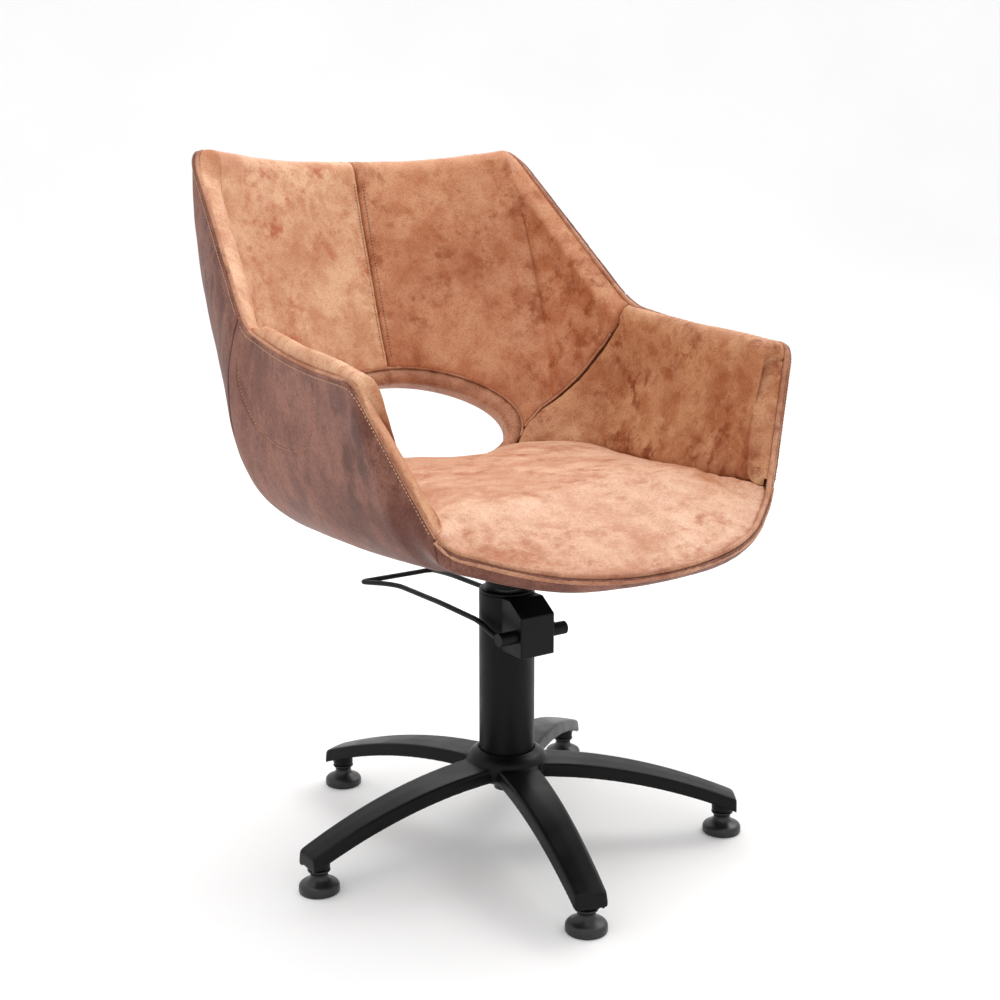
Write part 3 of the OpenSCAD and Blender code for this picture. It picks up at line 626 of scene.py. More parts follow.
HIDE = {
    "back_left": leather("leather_back_left", SANDY, (0.31, 0.12, 0.43), 0.85),
    # painted shade: darker tones for the right half of the back
    "back_right": leather("leather_back_right_shaded", SHADED_BACK_RIGHT, (1.7, 0.4, 2.2), 0.75),
    "arm_left": leather("leather_arm_left", SANDY, (2.3, 2.7, 0.9), 0.6),
    # painted shade: darker tones for the right arm's inner side
    "arm_right": leather("leather_arm_right_shaded", SHADED_ARM_RIGHT, (2.9, 1.4, 0.2), 0.9),
    "cushion": leather("leather_cushion", CREAM, (4.3, 0.8, 1.1), 0.75, (0.8, 1.25, 1)),
    # painted shade: the outer panels' leather darkened as if in shade
    "outside": leather("leather_outside_shaded", SHADED_OUTSIDE, (5.2, 3.3, 0.7), 0.4, (1, 1, 0.6)),
    "welt": leather("leather_welt", EDGED, (7.1, 0.3, 3.7), 0.6),
}
THREAD = thread_material("thread_tan", srgb(226, 182, 146), srgb(150, 100, 70))
# painted shade: dark brown stands in for the shade inside the needle holes
HOLE = thread_material("needle_hole_shade", srgb(84, 46, 30), srgb(52, 28, 20))
BLACK_CAST = powder_coat("black_cast", srgb(9, 9, 10), srgb(16, 16, 17), 0.34)
BLACK_STEEL = powder_coat("black_steel", srgb(10, 10, 10), srgb(17, 17, 17), 0.44)
BLACK_PLASTIC = rubber("black_plastic", srgb(20, 20, 22), srgb(44, 43, 44), 0.42)


# ================================================================ upholstery

STATION = 1.0


def count(length, size=3.6):
    """How many grid points a length in mm takes with squares of a size in mm."""
    return max(4, int(length / (size * STATION)) + 1)


def valley(distance, deep, wide):
    """How far leather sinks near a seam, from the distance in mm to it."""
    x = np.clip(np.asarray(distance, float) / wide, 0, 1)
    return deep * (1 - np.sqrt(np.clip(1 - (1 - x) ** 2, 0, 1)))


def pucker(place_along, distance, size, deep, wide, seed):
    """Small gathers across a seam that fade out with the distance from it, in mm."""
    wave = np.sin(place_along * 2 * math.pi / size + 1.3 * np.sin(place_along / 23.0 + seed))
    wave = wave * (0.55 + 0.45 * np.sin(place_along / 31.0 + 2.1 * seed))
    return deep * wave * np.exp(-np.asarray(distance, float) / wide)


def back_pad(side):
    """One half of the inner back. It rolls over the rim and has a double-stitched centre seam."""
    rows = count(430)
    cols = count(330)
    s = shape_steps(cols, 0.3)
    t = shape_steps(rows, 0.25)
    mid_u = BACK - 0.004
    low_u, low_v = ring_uv(math.pi - math.pi / 2 * s, BAND)
    low = np.stack([np.minimum(low_u, mid_u), low_v], axis=1)
    left = np.stack([smooth_list(INNER_SEAM_U, t * SEAM_JOINT) + 0.010,
                     smooth_list(INNER_SEAM_V, t * SEAM_JOINT)], axis=1)
    low += (left[-1] - low[0]) * ((1 - s) ** 4)[:, None]
    low[-1, 0] = mid_u
    right = np.stack([np.full_like(t, mid_u), low[-1, 1] * t], axis=1)
    top = np.stack([left[0, 0] + (mid_u - left[0, 0]) * s, np.zeros_like(s)], axis=1)
    u, v = patch(left, right, top, low)
    soft_panel("back_pad_" + side, u, v, lift=0.0, material=HIDE["back_" + side], side=side)


def arm_pad(side):
    """One inner arm, from the rim down to the cushion."""
    rows = count(190)
    cols = count(560)
    s = shape_steps(cols, 0.3)
    t = shape_steps(rows, 0.25)
    right = np.stack([smooth_list(INNER_SEAM_U, t) - 0.010, smooth_list(INNER_SEAM_V, t)], axis=1)
    low = np.stack([smooth_list(TUCK_U, s), smooth_list(TUCK_V, s)], axis=1)
    low += (right[-1] - low[-1]) * (s ** 4)[:, None]
    left = np.stack([np.full_like(t, TUCK_U[0]), TUCK_V[0] * t], axis=1)
    top = np.stack([TUCK_U[0] + (right[0, 0] - TUCK_U[0]) * s, np.zeros_like(s)], axis=1)
    u, v = patch(left, right, top, low)
    soft_panel("arm_pad_" + side, u, v, lift=ARM_LIFT[side], material=HIDE["arm_" + side], side=side)


def patch(left, right, top, low):
    """Stations and places down the wall of a panel, from its four edges (t down, s across)."""
    s = shape_steps(len(top), 0.3)[None, :, None]
    t = shape_steps(len(left), 0.25)[:, None, None]
    corners = (left[0] * (1 - s) + right[0] * s) * (1 - t) + (left[-1] * (1 - s) + right[-1] * s) * t
    grid = left[:, None] * (1 - s) + right[:, None] * s + top[None] * (1 - t) + low[None] * t - corners
    return grid[..., 0], grid[..., 1]


def edge_distance(points, axis):
    """Distances in mm of each grid point from the first and from the last line along an axis."""
    step = np.linalg.norm(np.diff(points, axis=axis), axis=-1)
    pad = [(0, 0), (0, 0)]
    pad[axis] = (1, 0)
    run = np.cumsum(np.pad(step, pad), axis=axis)
    total = np.take(run, [-1], axis=axis)
    return run, total - run


ARM_LIFT = {"left": 15.0, "right": 6.0}      # how far the arm's roll rises over the rim, in mm
ARM_TIP_U = 3.0
SIDE_MM = 190.0                              # mm of back for one station, near its sides
ROLL_REACH = 26.0                            # mm of wall below the rim that a pad's roll takes up
ROLL_FADE = 0.5                              # the v down to which the rest of the pad is moved for it


def soft_panel(name, u, v, lift, material, side):
    """A padded panel of the inner wall, as a closed solid.

    Its upper edge starts under the piping, rises by lift mm over the rim and rolls into the wall.
    Its other edges sink into seams.
    """
    arm = "arm" in name
    rolls = 12
    rim_u = u[0]
    per_v = v_length(rim_u)
    v_ref = np.minimum(ROLL_FADE, v[-1])
    v_roll = np.minimum(ROLL_REACH / per_v, 0.55 * v_ref)
    v = v + v_roll * np.clip(1 - v / v_ref, 0, 1)
    flat = inside(u, v, PAD_TOP)
    from_start, from_end = edge_distance(flat, 1)
    down, up = edge_distance(flat, 0)
    # a full, soft middle
    across = np.clip(np.minimum(from_start, from_end) / 90.0, 0, 1)
    below = np.clip(np.minimum(down + 40, up) / 90.0, 0, 1)
    depth = PAD_TOP + 3.0 * np.sin(across * math.pi / 2) * np.sin(below * math.pi / 2)
    depth -= valley(from_end, 5.0, 8.0)
    if arm:
        depth += pucker(down, from_end, 16.0, 0.7, 20.0, 5)
        depth -= valley(up, 9.0, 18.0)
        depth -= valley(from_start, 3.0, 8.0)
    else:
        depth -= valley(from_start, 5.0, 7.0)
        depth += pucker(down, from_end, 15.0, 0.35, 13.0, 1)
        depth += pucker(down, from_start, 17.0, 0.5, 20.0, 3)
        depth -= valley(up, 3.5, 6.0)
        depth += side_roll(u, down)
        if side == "right":
            depth -= seam_gathers(down, from_end)
    depth += 0.9 * soft_noise(flat, 85.0, 2) + 0.35 * soft_noise(flat, 26.0, 5)
    face = inside(u, v, depth)
    # the roll over the rim: a curve in depth and rise, from the piping to the first row
    k = np.linspace(0, 1, rolls + 1)[:-1, None]
    end_depth = depth[0][None, :]
    tall = lift * np.clip(np.minimum(from_start[0], from_end[0]) / 30.0 + 0.3, 0, 1)[None, :]
    tall = tall * (1 - 0.55 * np.exp(-((rim_u[None, :] - ARM_TIP_U) / 0.4) ** 2))
    start_depth = PIPING_DEPTH + 3.0
    curve_depth = cubic(start_depth, start_depth + 1.0, end_depth + 0.5, end_depth, k)
    drop = (v_roll * per_v)[None, :]
    start_rise = -3.0
    curve_rise = cubic(start_rise, tall * 1.7, tall * 1.3 - (0.0 if arm else 4.0), -drop, k)
    gather = pucker(from_start[:1], 0.0, 13.0, 0.45, 10.0, 4) * np.sin(k * math.pi)
    top_v = np.clip(-curve_rise, 0, None) / per_v[None, :]
    top_rise = np.clip(curve_rise, 0, None) + gather
    top = inside(np.broadcast_to(rim_u, curve_depth.shape), top_v, curve_depth, top_rise)
    top[..., 2] += 0.7 * soft_noise(top, 40.0, 1) * np.sin(k * math.pi)
    front = np.concatenate([top, face])
    back_v = np.concatenate([v_roll[None, :] * np.linspace(0.25, 0.97, rolls)[:, None], v])
    back = inside(np.concatenate([np.broadcast_to(rim_u, top.shape[:2]), u]), back_v, PAD_DEPTH)
    if side == "left":
        front = mirrored(front)
        back = mirrored(back)
    points, faces = slab(place(front), place(back))
    piece = new_piece(name + "_leather", points, faces, "seat", material)
    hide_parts(name)


def side_roll(u, down):
    """The fuller bolster along the back's sides, with a soft crease where it meets the back."""
    crease_u = np.interp(down, [0, 150, 300, 420], [6.05, 5.78, 5.62, 5.58])
    off = (u - crease_u) * SIDE_MM
    bolster = 3.5 * np.clip(-off / 26.0, 0, 1) * np.clip(2.2 + off / 30.0, 0, 1)
    crease = 2.4 * np.exp(-(off / 9.0) ** 2)
    fade = np.clip((down - 20) / 70.0, 0, 1) * np.clip((330 - down) / 110.0, 0, 1)
    return (bolster - crease) * fade


def seam_gathers(down, from_seam):
    """Sharp little gathers where the leather is pulled to the centre seam."""
    bite = np.exp(-((down - 215) / 95.0) ** 2)
    wave = 0.6 + 0.4 * np.sin(down / 5.3 + 1.2 * np.sin(down / 17.0))
    return 2.6 * bite * wave * np.exp(-((from_seam - 13.0) / 4.5) ** 2)


def cover_panel(name, us, v_end, rows, depth_of, material, node):
    """An outer leather panel as a thin closed solid, without an opening."""
    t = shape_steps(rows, 0.3)
    u, v = np.meshgrid(us, t * v_end + RIM_START, indexing="xy")
    points, faces = slab(place(inside(u, v, depth_of(u, v))), place(inside(u, v, PANEL_BACK)))
    piece = new_piece(name, points, faces, "seat", material)
    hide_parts(node)


RIM_START = 0.0015                      # where the outer panels start below the rim, as a v
SEAM_GAP = 0.006                        # half the gap between outer panels, in stations
SEAM_SINK = (1.9, 4.0)                  # how deep and how wide they sink at a seam, in mm
PANEL_BACK = COVER_T + 0.2


def side_distance(u, v, seam):
    """Distance in mm from a seam along a station line, measured along the wall."""
    here = wall(u, v)
    there = wall(np.full_like(u, seam), v)
    return np.linalg.norm(here - there, axis=-1)


DART_U = [4.93, 4.80, 4.55, 4.20, 3.85, 3.62]
DART_V = [0.085, 0.16, 0.235, 0.25, 0.19, 0.02]


def dart_distance(u, v):
    """Distance in mm from the curved dart seam below the arm's rim."""
    t = np.linspace(0, 1, 160)
    line = wall(smooth_list(DART_U, t), smooth_list(DART_V, t))
    here = wall(u, v)
    flat = here.reshape(-1, 3)
    best = np.full(len(flat), 1e9)
    for p in line:
        best = np.minimum(best, np.linalg.norm(flat - p, axis=1))
    return best.reshape(u.shape)


def fold(distance, deep, wide):
    """A rounded groove at a seam inside a panel."""
    return deep * np.exp(-(np.asarray(distance, float) / wide) ** 2)


def outer_arm(side):
    """Outer arm panel with a curved dart below the rim."""
    low_u = BORDER_U + SEAM_GAP
    high_u = ARM_BACK_U - SEAM_GAP
    us = low_u + (high_u - low_u) * shape_steps(count(480), 0.3)

    def depth_of(u, v):
        right_u = LOOP - u if side == "left" else u
        dart = dart_distance(right_u, v)
        depth = valley(side_distance(right_u, v, ARM_BACK_U), *SEAM_SINK)
        depth += valley(side_distance(right_u, v, BORDER_U), *SEAM_SINK)
        depth += fold(dart, 1.5, 1.7) - 0.5 * fold(dart - 5.0, 1.0, 4.0)
        return depth + outer_depth(right_u, v, 1.4, ((0.45, 70.0, 3), (0.2, 24.0, 6)),
                                   (14.0, 0.4, 14.0, 2))

    if side == "left":
        us = LOOP - us[::-1]
    cover_panel("outer_arm_leather_" + side, us, UNDER_V, count(300), depth_of, HIDE["outside"],
                "outer_arm_cover_" + side)


RUN_U = np.linspace(0, LOOP, 1601)
RUN_MM = run_of(inside(RUN_U, 0.02, 0.0))


def run_along(u):
    """Distance in mm round the rim from the front centre."""
    return np.interp(np.asarray(u, float) % LOOP, RUN_U, RUN_MM)


def outer_depth(u, v, sink, waves, gathers):
    """Depth in mm of outer leather: sunk at the rim, with waves in it and gathers along the rim.

    waves are (height, size, seed) of each noise, and gathers are pucker's last four numbers.
    """
    below_rim = v * v_length(u)
    depth = valley(below_rim, sink, 4.0)
    points = wall(u, v)
    for height, size, seed in waves:
        depth = depth - height * soft_noise(points, size, seed)
    return depth - pucker(run_along(u), below_rim, *gathers) + 0.1


def front_border():
    """The band below the seat's front piping."""
    us = -BORDER_U + SEAM_GAP + 2 * (BORDER_U - SEAM_GAP) * shape_steps(count(560), 0.2)

    def depth_of(u, v):
        d_side = np.minimum(side_distance(u, v, BORDER_U), side_distance(u, v, LOOP - BORDER_U))
        return valley(d_side, *SEAM_SINK) + outer_depth(u, v, 1.2, ((0.5, 60.0, 4), (0.2, 22.0, 1)),
                                                        (15.0, 0.35, 12.0, 6))

    cover_panel("front_border_leather", us, UNDER_V, count(170), depth_of, HIDE["outside"],
                "front_border")


def outer_back():
    """Outer back panel round the opening."""
    ends = 46
    opening = BACK - OPENING_U * np.cos(math.pi * np.linspace(0, 1, 2 * ends + 1))
    side_cols = count(260, 4.0)
    low_u = ARM_BACK_U + SEAM_GAP
    left = low_u + (BACK - OPENING_U - 0.03 - low_u) * shape_steps(side_cols, 0.15)
    right = LOOP - left[::-1]
    us = np.concatenate([left, opening, right])
    top_rows = count(330, 4.4)
    low_rows = count(190, 4.4)
    reach = opening_reach(us)
    top_v = OPENING_V - reach
    low_v = OPENING_V + reach
    t_top = shape_steps(top_rows, 0.2)
    t_low = shape_steps(low_rows, 0.2)
    v = np.concatenate([RIM_START + (top_v[None, :] - RIM_START) * t_top[:, None],
                        low_v[None, :] + (UNDER_V - low_v)[None, :] * t_low[:, None]])
    u = np.broadcast_to(us, v.shape)
    d_side = np.minimum(side_distance(u, v, ARM_BACK_U), side_distance(u, v, LOOP - ARM_BACK_U))
    depth = valley(d_side, *SEAM_SINK) + outer_depth(u, v, 1.4, ((0.5, 85.0, 7), (0.2, 27.0, 2)),
                                                     (16.0, 0.35, 14.0, 8))
    front = inside(u, v, depth)
    back = inside(u, v, PANEL_BACK)
    rows, cols = v.shape
    half = rows * cols
    cut = reach > 1e-9

    def near(side, r, c):
        """Point number, with the two edges of the wall joined where there is no opening."""
        if r == top_rows and not cut[c]:
            r = top_rows - 1
        return side * half + r * cols + c

    faces = []
    walls = [r for r in range(rows - 1) if r != top_rows - 1]
    for r in walls:
        for c in range(cols - 1):
            faces.append((near(0, r, c), near(0, r, c + 1), near(0, r + 1, c + 1), near(0, r + 1, c)))
            faces.append((near(1, r, c), near(1, r + 1, c), near(1, r + 1, c + 1), near(1, r, c + 1)))
    for c in range(cols - 1):
        faces.append((near(0, 0, c), near(1, 0, c), near(1, 0, c + 1), near(0, 0, c + 1)))
        faces.append((near(0, rows - 1, c), near(0, rows - 1, c + 1), near(1, rows - 1, c + 1),
                      near(1, rows - 1, c)))
        if cut[c] or cut[c + 1]:
            a = top_rows - 1
            b = top_rows
            faces.append((near(0, a, c), near(0, a, c + 1), near(1, a, c + 1), near(1, a, c)))
            faces.append((near(0, b, c), near(1, b, c), near(1, b, c + 1), near(0, b, c + 1)))
    for r in walls:
        for c, flip in ((0, False), (cols - 1, True)):
            quad = (near(0, r, c), near(0, r + 1, c), near(1, r + 1, c), near(1, r, c))
            faces.append(quad[::-1] if flip else quad)
    faces = [tuple(dict.fromkeys(f)) for f in faces]
    faces = [f for f in faces if len(f) > 2]
    points = np.concatenate([front.reshape(-1, 3), back.reshape(-1, 3)])
    piece = new_piece("outer_back_leather", place(points), faces, "seat", HIDE["outside"])
    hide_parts("outer_back_cover")


def opening_facing():
    """The leather band that lines the opening, from the inner pad round to the outer back."""
    angles = np.linspace(0, 2 * math.pi, 360, endpoint=False)
    outline = rounded([(BAND, 31.5), (7, 33.5), (-2.0, 28), (-2.8, 9), (-2.0, -0.6), (6, -0.9)], 7, 7)
    inner = rounded([(BAND - 1, 27), (8, 27), (2.0, 22), (1.8, 9), (2.2, 3.0), (6, 1.2)], 6, 7)
    loop = outline + inner[::-1]
    rings = []
    for out, depth in loop:
        points = opening_ring(angles, out, depth)
        wave = 0.35 * np.sin(angles * 41 + 0.8 * np.sin(angles * 5)) * (1 if depth > 20 else 0.3)
        rings.append(points + wave[:, None] * inward(BACK + OPENING_U * np.cos(angles) * 0.98,
                                                     OPENING_V - OPENING_DV * np.sin(angles) * 0.98))
    grid = np.array(rings)
    rows, cols = grid.shape[:2]
    faces = grid_faces(rows, cols, closed=True)
    faces += [((rows - 1) * cols + c, (rows - 1) * cols + (c + 1) % cols, (c + 1) % cols, c)
              for c in range(cols)]
    new_piece("opening_facing_leather", place(grid.reshape(-1, 3)), faces, "seat",
              HIDE["welt"])


STITCH_PITCH = 4.6                      # all of these are in mm
STITCH_LENGTH = 3.1
THREAD_R = 0.55
HOLE_R = 0.75


def stitch_line(path, normals):
    """Stitches as short rounded threads along a path in mm, each dipping in at its ends."""
    run = run_of(path)
    k = np.linspace(0, 1, 5)
    thick = THREAD_R * np.array([0.6, 1.0, 1.0, 1.0, 0.6])
    parts = []
    for start in np.arange(STITCH_PITCH, run[-1] - STITCH_PITCH, STITCH_PITCH):
        where = start + k * STITCH_LENGTH
        bow = (np.sin(k * math.pi) * 0.75 - 0.35)[:, None]
        line = read_off(where, run, path) + read_off(where, run, normals) * bow
        parts.append(tube(place(line), thick * MM, 6))
    return parts


def hole_line(path, normals):
    """Painted shade of the needle holes between the stitches: small dark beads sunk in the leather."""
    run = run_of(path)
    where = np.arange(STITCH_PITCH, run[-1] - STITCH_PITCH, STITCH_PITCH) - HOLE_R
    bead = lathe([(0, -HOLE_R), (HOLE_R * 0.8, -HOLE_R * 0.5), (HOLE_R, 0),
                  (HOLE_R * 0.8, HOLE_R * 0.5), (0, HOLE_R)], 8)
    return [(place(bead[0] + spot - way * 0.45), bead[1])
            for spot, way in zip(read_off(where, run, path), read_off(where, run, normals))]


def stitches(name, lines, side_pairs=False):
    """The stitches of a seam and the painted shade of their needle holes, as two pieces. lines are
    (path, normals) in mm.
    """
    if side_pairs:
        lines = [pair for path, normals in lines
                 for pair in ((path, normals), (mirrored(path), mirrored(normals)))]
    for what, make, material in (("", stitch_line, THREAD), ("_holes", hole_line, HOLE)):
        points, faces = joined([part for path, normals in lines for part in make(path, normals)])
        new_piece(name + what, points, faces, "seat", material)


def welt(name, cords, node):
    """One or more welt cords as a piece. Each is a path in mm, its radius in mm and its sides."""
    points, faces = joined([tube(place(path), radius * MM, sides) for path, radius, sides in cords])
    piece = new_piece(name, points, faces, "seat", HIDE["welt"])
    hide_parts(node)


def rim_piping():
    """Welt cord round the rim, with the thin lip of its flange on the outer side."""
    us = np.linspace(BORDER_U - 0.01, LOOP - BORDER_U + 0.01, 900)
    run = run_along(us)
    radius = PIPING_R * (1 + 0.035 * np.sin(run * 2 * math.pi / 9.5 + np.sin(run / 17))
                         + 0.02 * np.sin(run / 37))
    welt("rim_welt", [(inside(us, 0.004, PIPING_DEPTH), radius, 14),
                      (inside(us, 0.006, PIPING_DEPTH - 4.3), 1.25, 8)], "rim_piping")


def seat_piping():
    """Double welt along the seat's front edge."""
    us = np.linspace(-BORDER_U + 0.004, BORDER_U - 0.004, 520)
    run = run_along(us)
    wave = 0.03 * np.sin(run * 2 * math.pi / 9.0 + np.sin(run / 19))
    welt("seat_welt", [(inside(us, 0.004, PIPING_DEPTH, 1.2), PIPING_R * (1 + wave), 14),
                       (inside(us, 0.006, 2.2, -3.4), 2.9 * (1 - wave), 14)], "seat_piping")


def opening_piping():
    """Welt between the inner back and the facing of the opening."""
    angles = np.linspace(-0.12, math.pi + 0.12, 200)
    wave = 1 + 0.04 * np.sin(np.arange(200) * 1.1)
    welt("opening_welt", [(opening_ring(angles, BAND + 0.5, 32.5), 2.0 * wave, 12)], "opening_piping")


def underside():
    """Dust cloth stretched over the underside of the tub, sagging by under a millimetre."""
    lap = 0.012                             # how far it reaches up over the outer leather, as a v
    us = np.linspace(0, LOOP, 320, endpoint=False)
    vs = UNDER_V - lap + (1 - UNDER_V + lap) * shape_steps(16, 0.2)
    v, u = np.meshgrid(vs, us, indexing="ij")
    sag = 0.6 * soft_noise(wall(u, v), 38.0, 9) * np.sin((v - UNDER_V) / (1 - UNDER_V) * math.pi)
    front = inside(u, v, 0.5 + sag)
    back = inside(u, v, COVER_T + 0.3)
    rows, cols = v.shape
    half = rows * cols
    faces = grid_faces(rows, cols, closed=True) + grid_faces(rows, cols, half, True, True)
    for c in range(cols):
        d = (c + 1) % cols
        faces.append((c, half + c, half + d, d))
        low = (rows - 1) * cols
        faces.append((low + c, low + d, half + low + d, half + low + c))
    points = np.concatenate([front.reshape(-1, 3), back.reshape(-1, 3)])
    piece = new_piece("underside_cloth", place(points), faces, "seat",
                      dust_cloth("dust_cloth"))
    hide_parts("underside_cover")


CUSHION_TOP = np.array([0, -25, 503.0])


def cushion_edge(cols):
    """The closed line in mm where the cushion tucks in: piping, arms, then the opening's lower lip."""
    us = np.linspace(0, BORDER_U + 0.03, 70)
    front = inside(us, 0.02, PIPING_DEPTH - 0.6)
    s = np.linspace(0.10, 0.99, 90)
    arm = inside(smooth_list(TUCK_U, s), smooth_list(TUCK_V, s) + 0.012, 21.0)
    angles = np.linspace(math.pi + 0.5, math.pi * 1.5, 40)
    lip = opening_ring(angles, 14.0, 23.0)
    half = np.concatenate([front, arm, lip])
    other = mirrored(half[1:-1][::-1])
    loop = np.concatenate([half, other, half[:1]])
    run = run_of(loop)
    edge = read_off(np.linspace(0, run[-1], cols, endpoint=False), run, loop)
    for _ in range(3):
        edge = (np.roll(edge, 1, 0) + 2 * edge + np.roll(edge, -1, 0)) / 4
    return edge


def cushion():
    """Crowned seat cushion whose front falls over to the piping and whose back has soft folds."""
    cols = count(1600, 6.0)
    edge = cushion_edge(cols)
    fullness = 3.1 + 1.6 * np.clip((edge[:, 1] + 290) / 150, 0, 1)      # rounder at the front
    levels = []
    for k in 1 - (1 - shape_steps(count(260, 6.0))) ** 1.6:
        p = CUSHION_TOP + (edge - CUSHION_TOP) * k
        rise = (CUSHION_TOP[2] - edge[:, 2]) * (1 - k ** fullness)
        levels.append(np.stack([p[:, 0], p[:, 1], edge[:, 2] + rise], axis=1))
    floor = TUB_BASE + 26.5
    # the hidden underside, in rings that shrink to the middle of the tub's floor
    for share, drop in ((0.985, 6), (0.90, 6), (0.70, 5), (0.40, 3)):
        p = edge * share
        p[:, 2] = edge[:, 2] + (floor - edge[:, 2]) * (1 - share) - drop
        levels.append(p)
    grid = np.array(levels[1:])
    rows = len(grid)
    points = np.concatenate([grid.reshape(-1, 3), [CUSHION_TOP], [[0, 0, floor]]])
    piece = new_piece("seat_cushion_leather", place(points), capped_faces(rows, cols), "seat",
                      HIDE["cushion"])
    remesh(piece, 0.0055)
    swell(piece, edge, cap=7.0)
    modifier = piece.modifiers.new("finer", "SUBSURF")
    modifier.levels = 2
    apply_modifiers(piece)
    move_points(piece, lambda p: cushion_folds(p, edge))
    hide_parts("seat_cushion")


def edge_gap(points, edge):
    """Distance in mm, seen from above, from each point to the cushion's tucked edge."""
    tree = KDTree(len(edge) * 3)
    loop = np.concatenate([edge, edge[:1]])
    k = 0
    for a, b in zip(loop, loop[1:]):
        for share in (0, 1 / 3, 2 / 3):
            p = a + (b - a) * share
            tree.insert((p[0], p[1], 0), k)
            k += 1
    tree.balance()
    return np.array([tree.find((x, y, 0))[2] for x, y, _ in points])


def cushion_folds(points, edge):
    """Moves in mm that give long shallow folds across the back, a sat-in hollow and light waves."""
    x, y, z = points[:, 0], points[:, 1], points[:, 2]
    top = np.clip((z - edge[:, 2].min() - 6) / 16, 0, 1)
    fade = np.clip(edge_gap(points, edge) / 16.0, 0, 1) * top
    back_left = np.clip((y + 60) / 130, 0, 1) * np.clip((190 - x) / 240, 0.2, 1)
    across = y + 14 * np.sin(x / 60.0) + 6 * np.sin(x / 23.0 + 1)
    folds = np.sin(across / 3.4) * 0.5 + np.sin(across / 5.9 + 2) * 0.7
    broken = 0.5 + 0.5 * soft_noise(points * np.array([0.6, 1.6, 1.0]), 60.0, 3)
    height = folds * back_left * broken * 1.5
    height += 1.3 * soft_noise(points, 120.0, 4) + 0.45 * soft_noise(points, 30.0, 8)
    height -= 2.0 * np.exp(-((x / 120) ** 2 + ((y - 10) / 95) ** 2))
    pull = np.exp(-(((x - 205) / 34) ** 2 + ((y + 175) / 34) ** 2))
    height += 0.8 * pull * np.sin((x - 0.7 * y) / 4.5)
    out = np.zeros_like(points)
    out[:, 2] = height * fade
    return out


def column_mm(piece):
    """A piece's points in millimetres from the column axis."""
    points = np.empty(len(piece.data.vertices) * 3)
    piece.data.vertices.foreach_get("co", points)
    return (points.reshape(-1, 3) - np.array(COLUMN)) / MM


def set_points(piece, points):
    """Gives a piece's mesh its points, in mm from the column axis."""
    piece.data.vertices.foreach_set("co", place(points).reshape(-1))
    piece.data.update()


def move_points(piece, offsets):
    """Moves a piece's points by what a function gives for them, in mm."""
    points = column_mm(piece)
    set_points(piece, points + offsets(points))


def swell(piece, edge, cap):
    """Lets the padding push the leather out by cloth simulation, held at the tucked edge."""
    before = column_mm(piece)
    near_edge = 12.0
    frames = 20
    held = (edge_gap(before, edge) < near_edge) | (before[:, 2] < edge[:, 2].min() + 8)
    normals = np.empty(len(before) * 3)
    piece.data.vertices.foreach_get("normal", normals)
    held |= normals.reshape(-1, 3)[:, 2] < 0.05
    pins = piece.vertex_groups.new(name="held")
    pins.add([int(i) for i in np.nonzero(held)[0]], 1.0, "REPLACE")
    cloth = piece.modifiers.new("padding", "CLOTH")
    settings = cloth.settings
    settings.quality = 6
    settings.mass = 0.4
    settings.tension_stiffness = 12
    settings.compression_stiffness = 12
    settings.shear_stiffness = 6
    settings.bending_stiffness = 1.2
    settings.vertex_group_mass = "held"
    settings.use_pressure = True
    settings.uniform_pressure_force = 4.0
    settings.shrink_min = -0.015
    settings.effector_weights.gravity = 0
    cloth.point_cache.frame_start = 1
    cloth.point_cache.frame_end = frames
    scene = bpy.context.scene
    for moment in range(1, frames + 1):
        scene.frame_set(moment)
    apply_modifiers(piece)
    scene.frame_set(1)
    piece.vertex_groups.clear()
    moved = column_mm(piece) - before
    length = np.linalg.norm(moved, axis=1, keepdims=True)
    moved *= np.minimum(1, cap / np.maximum(length, 1e-6))
    set_points(piece, before + moved * ~held[:, None])


def upholstery():
    """Every leather piece of the tub."""
    for side in ("left", "right"):
        back_pad(side)
        arm_pad(side)
        outer_arm(side)
    outer_back()
    front_border()
    opening_facing()
    rim_piping()
    seat_piping()
    opening_piping()
    underside()
    cushion()
    seams()


def seam_path(u, v, depth, outwards=False):
    """A line in mm on the leather, with the way that it faces."""
    facing = inward(u, v)
    return inside(u, v, depth), -facing if outwards else facing


def beside(u, v, off):
    """A line of stations and places moved sideways by off mm along the wall."""
    mm_u = np.linalg.norm(wall(u + 0.01, v) - wall(u - 0.01, v), axis=1) / 0.02
    mm_v = np.linalg.norm(wall(u, v + 0.004) - wall(u, np.maximum(v - 0.004, 0)), axis=1) / 0.008
    du = np.gradient(u) * mm_u
    dv = np.gradient(v) * mm_v
    length = np.hypot(du, dv)
    return u - dv / length * off / mm_u, np.maximum(v + du / length * off / mm_v, 0.001)


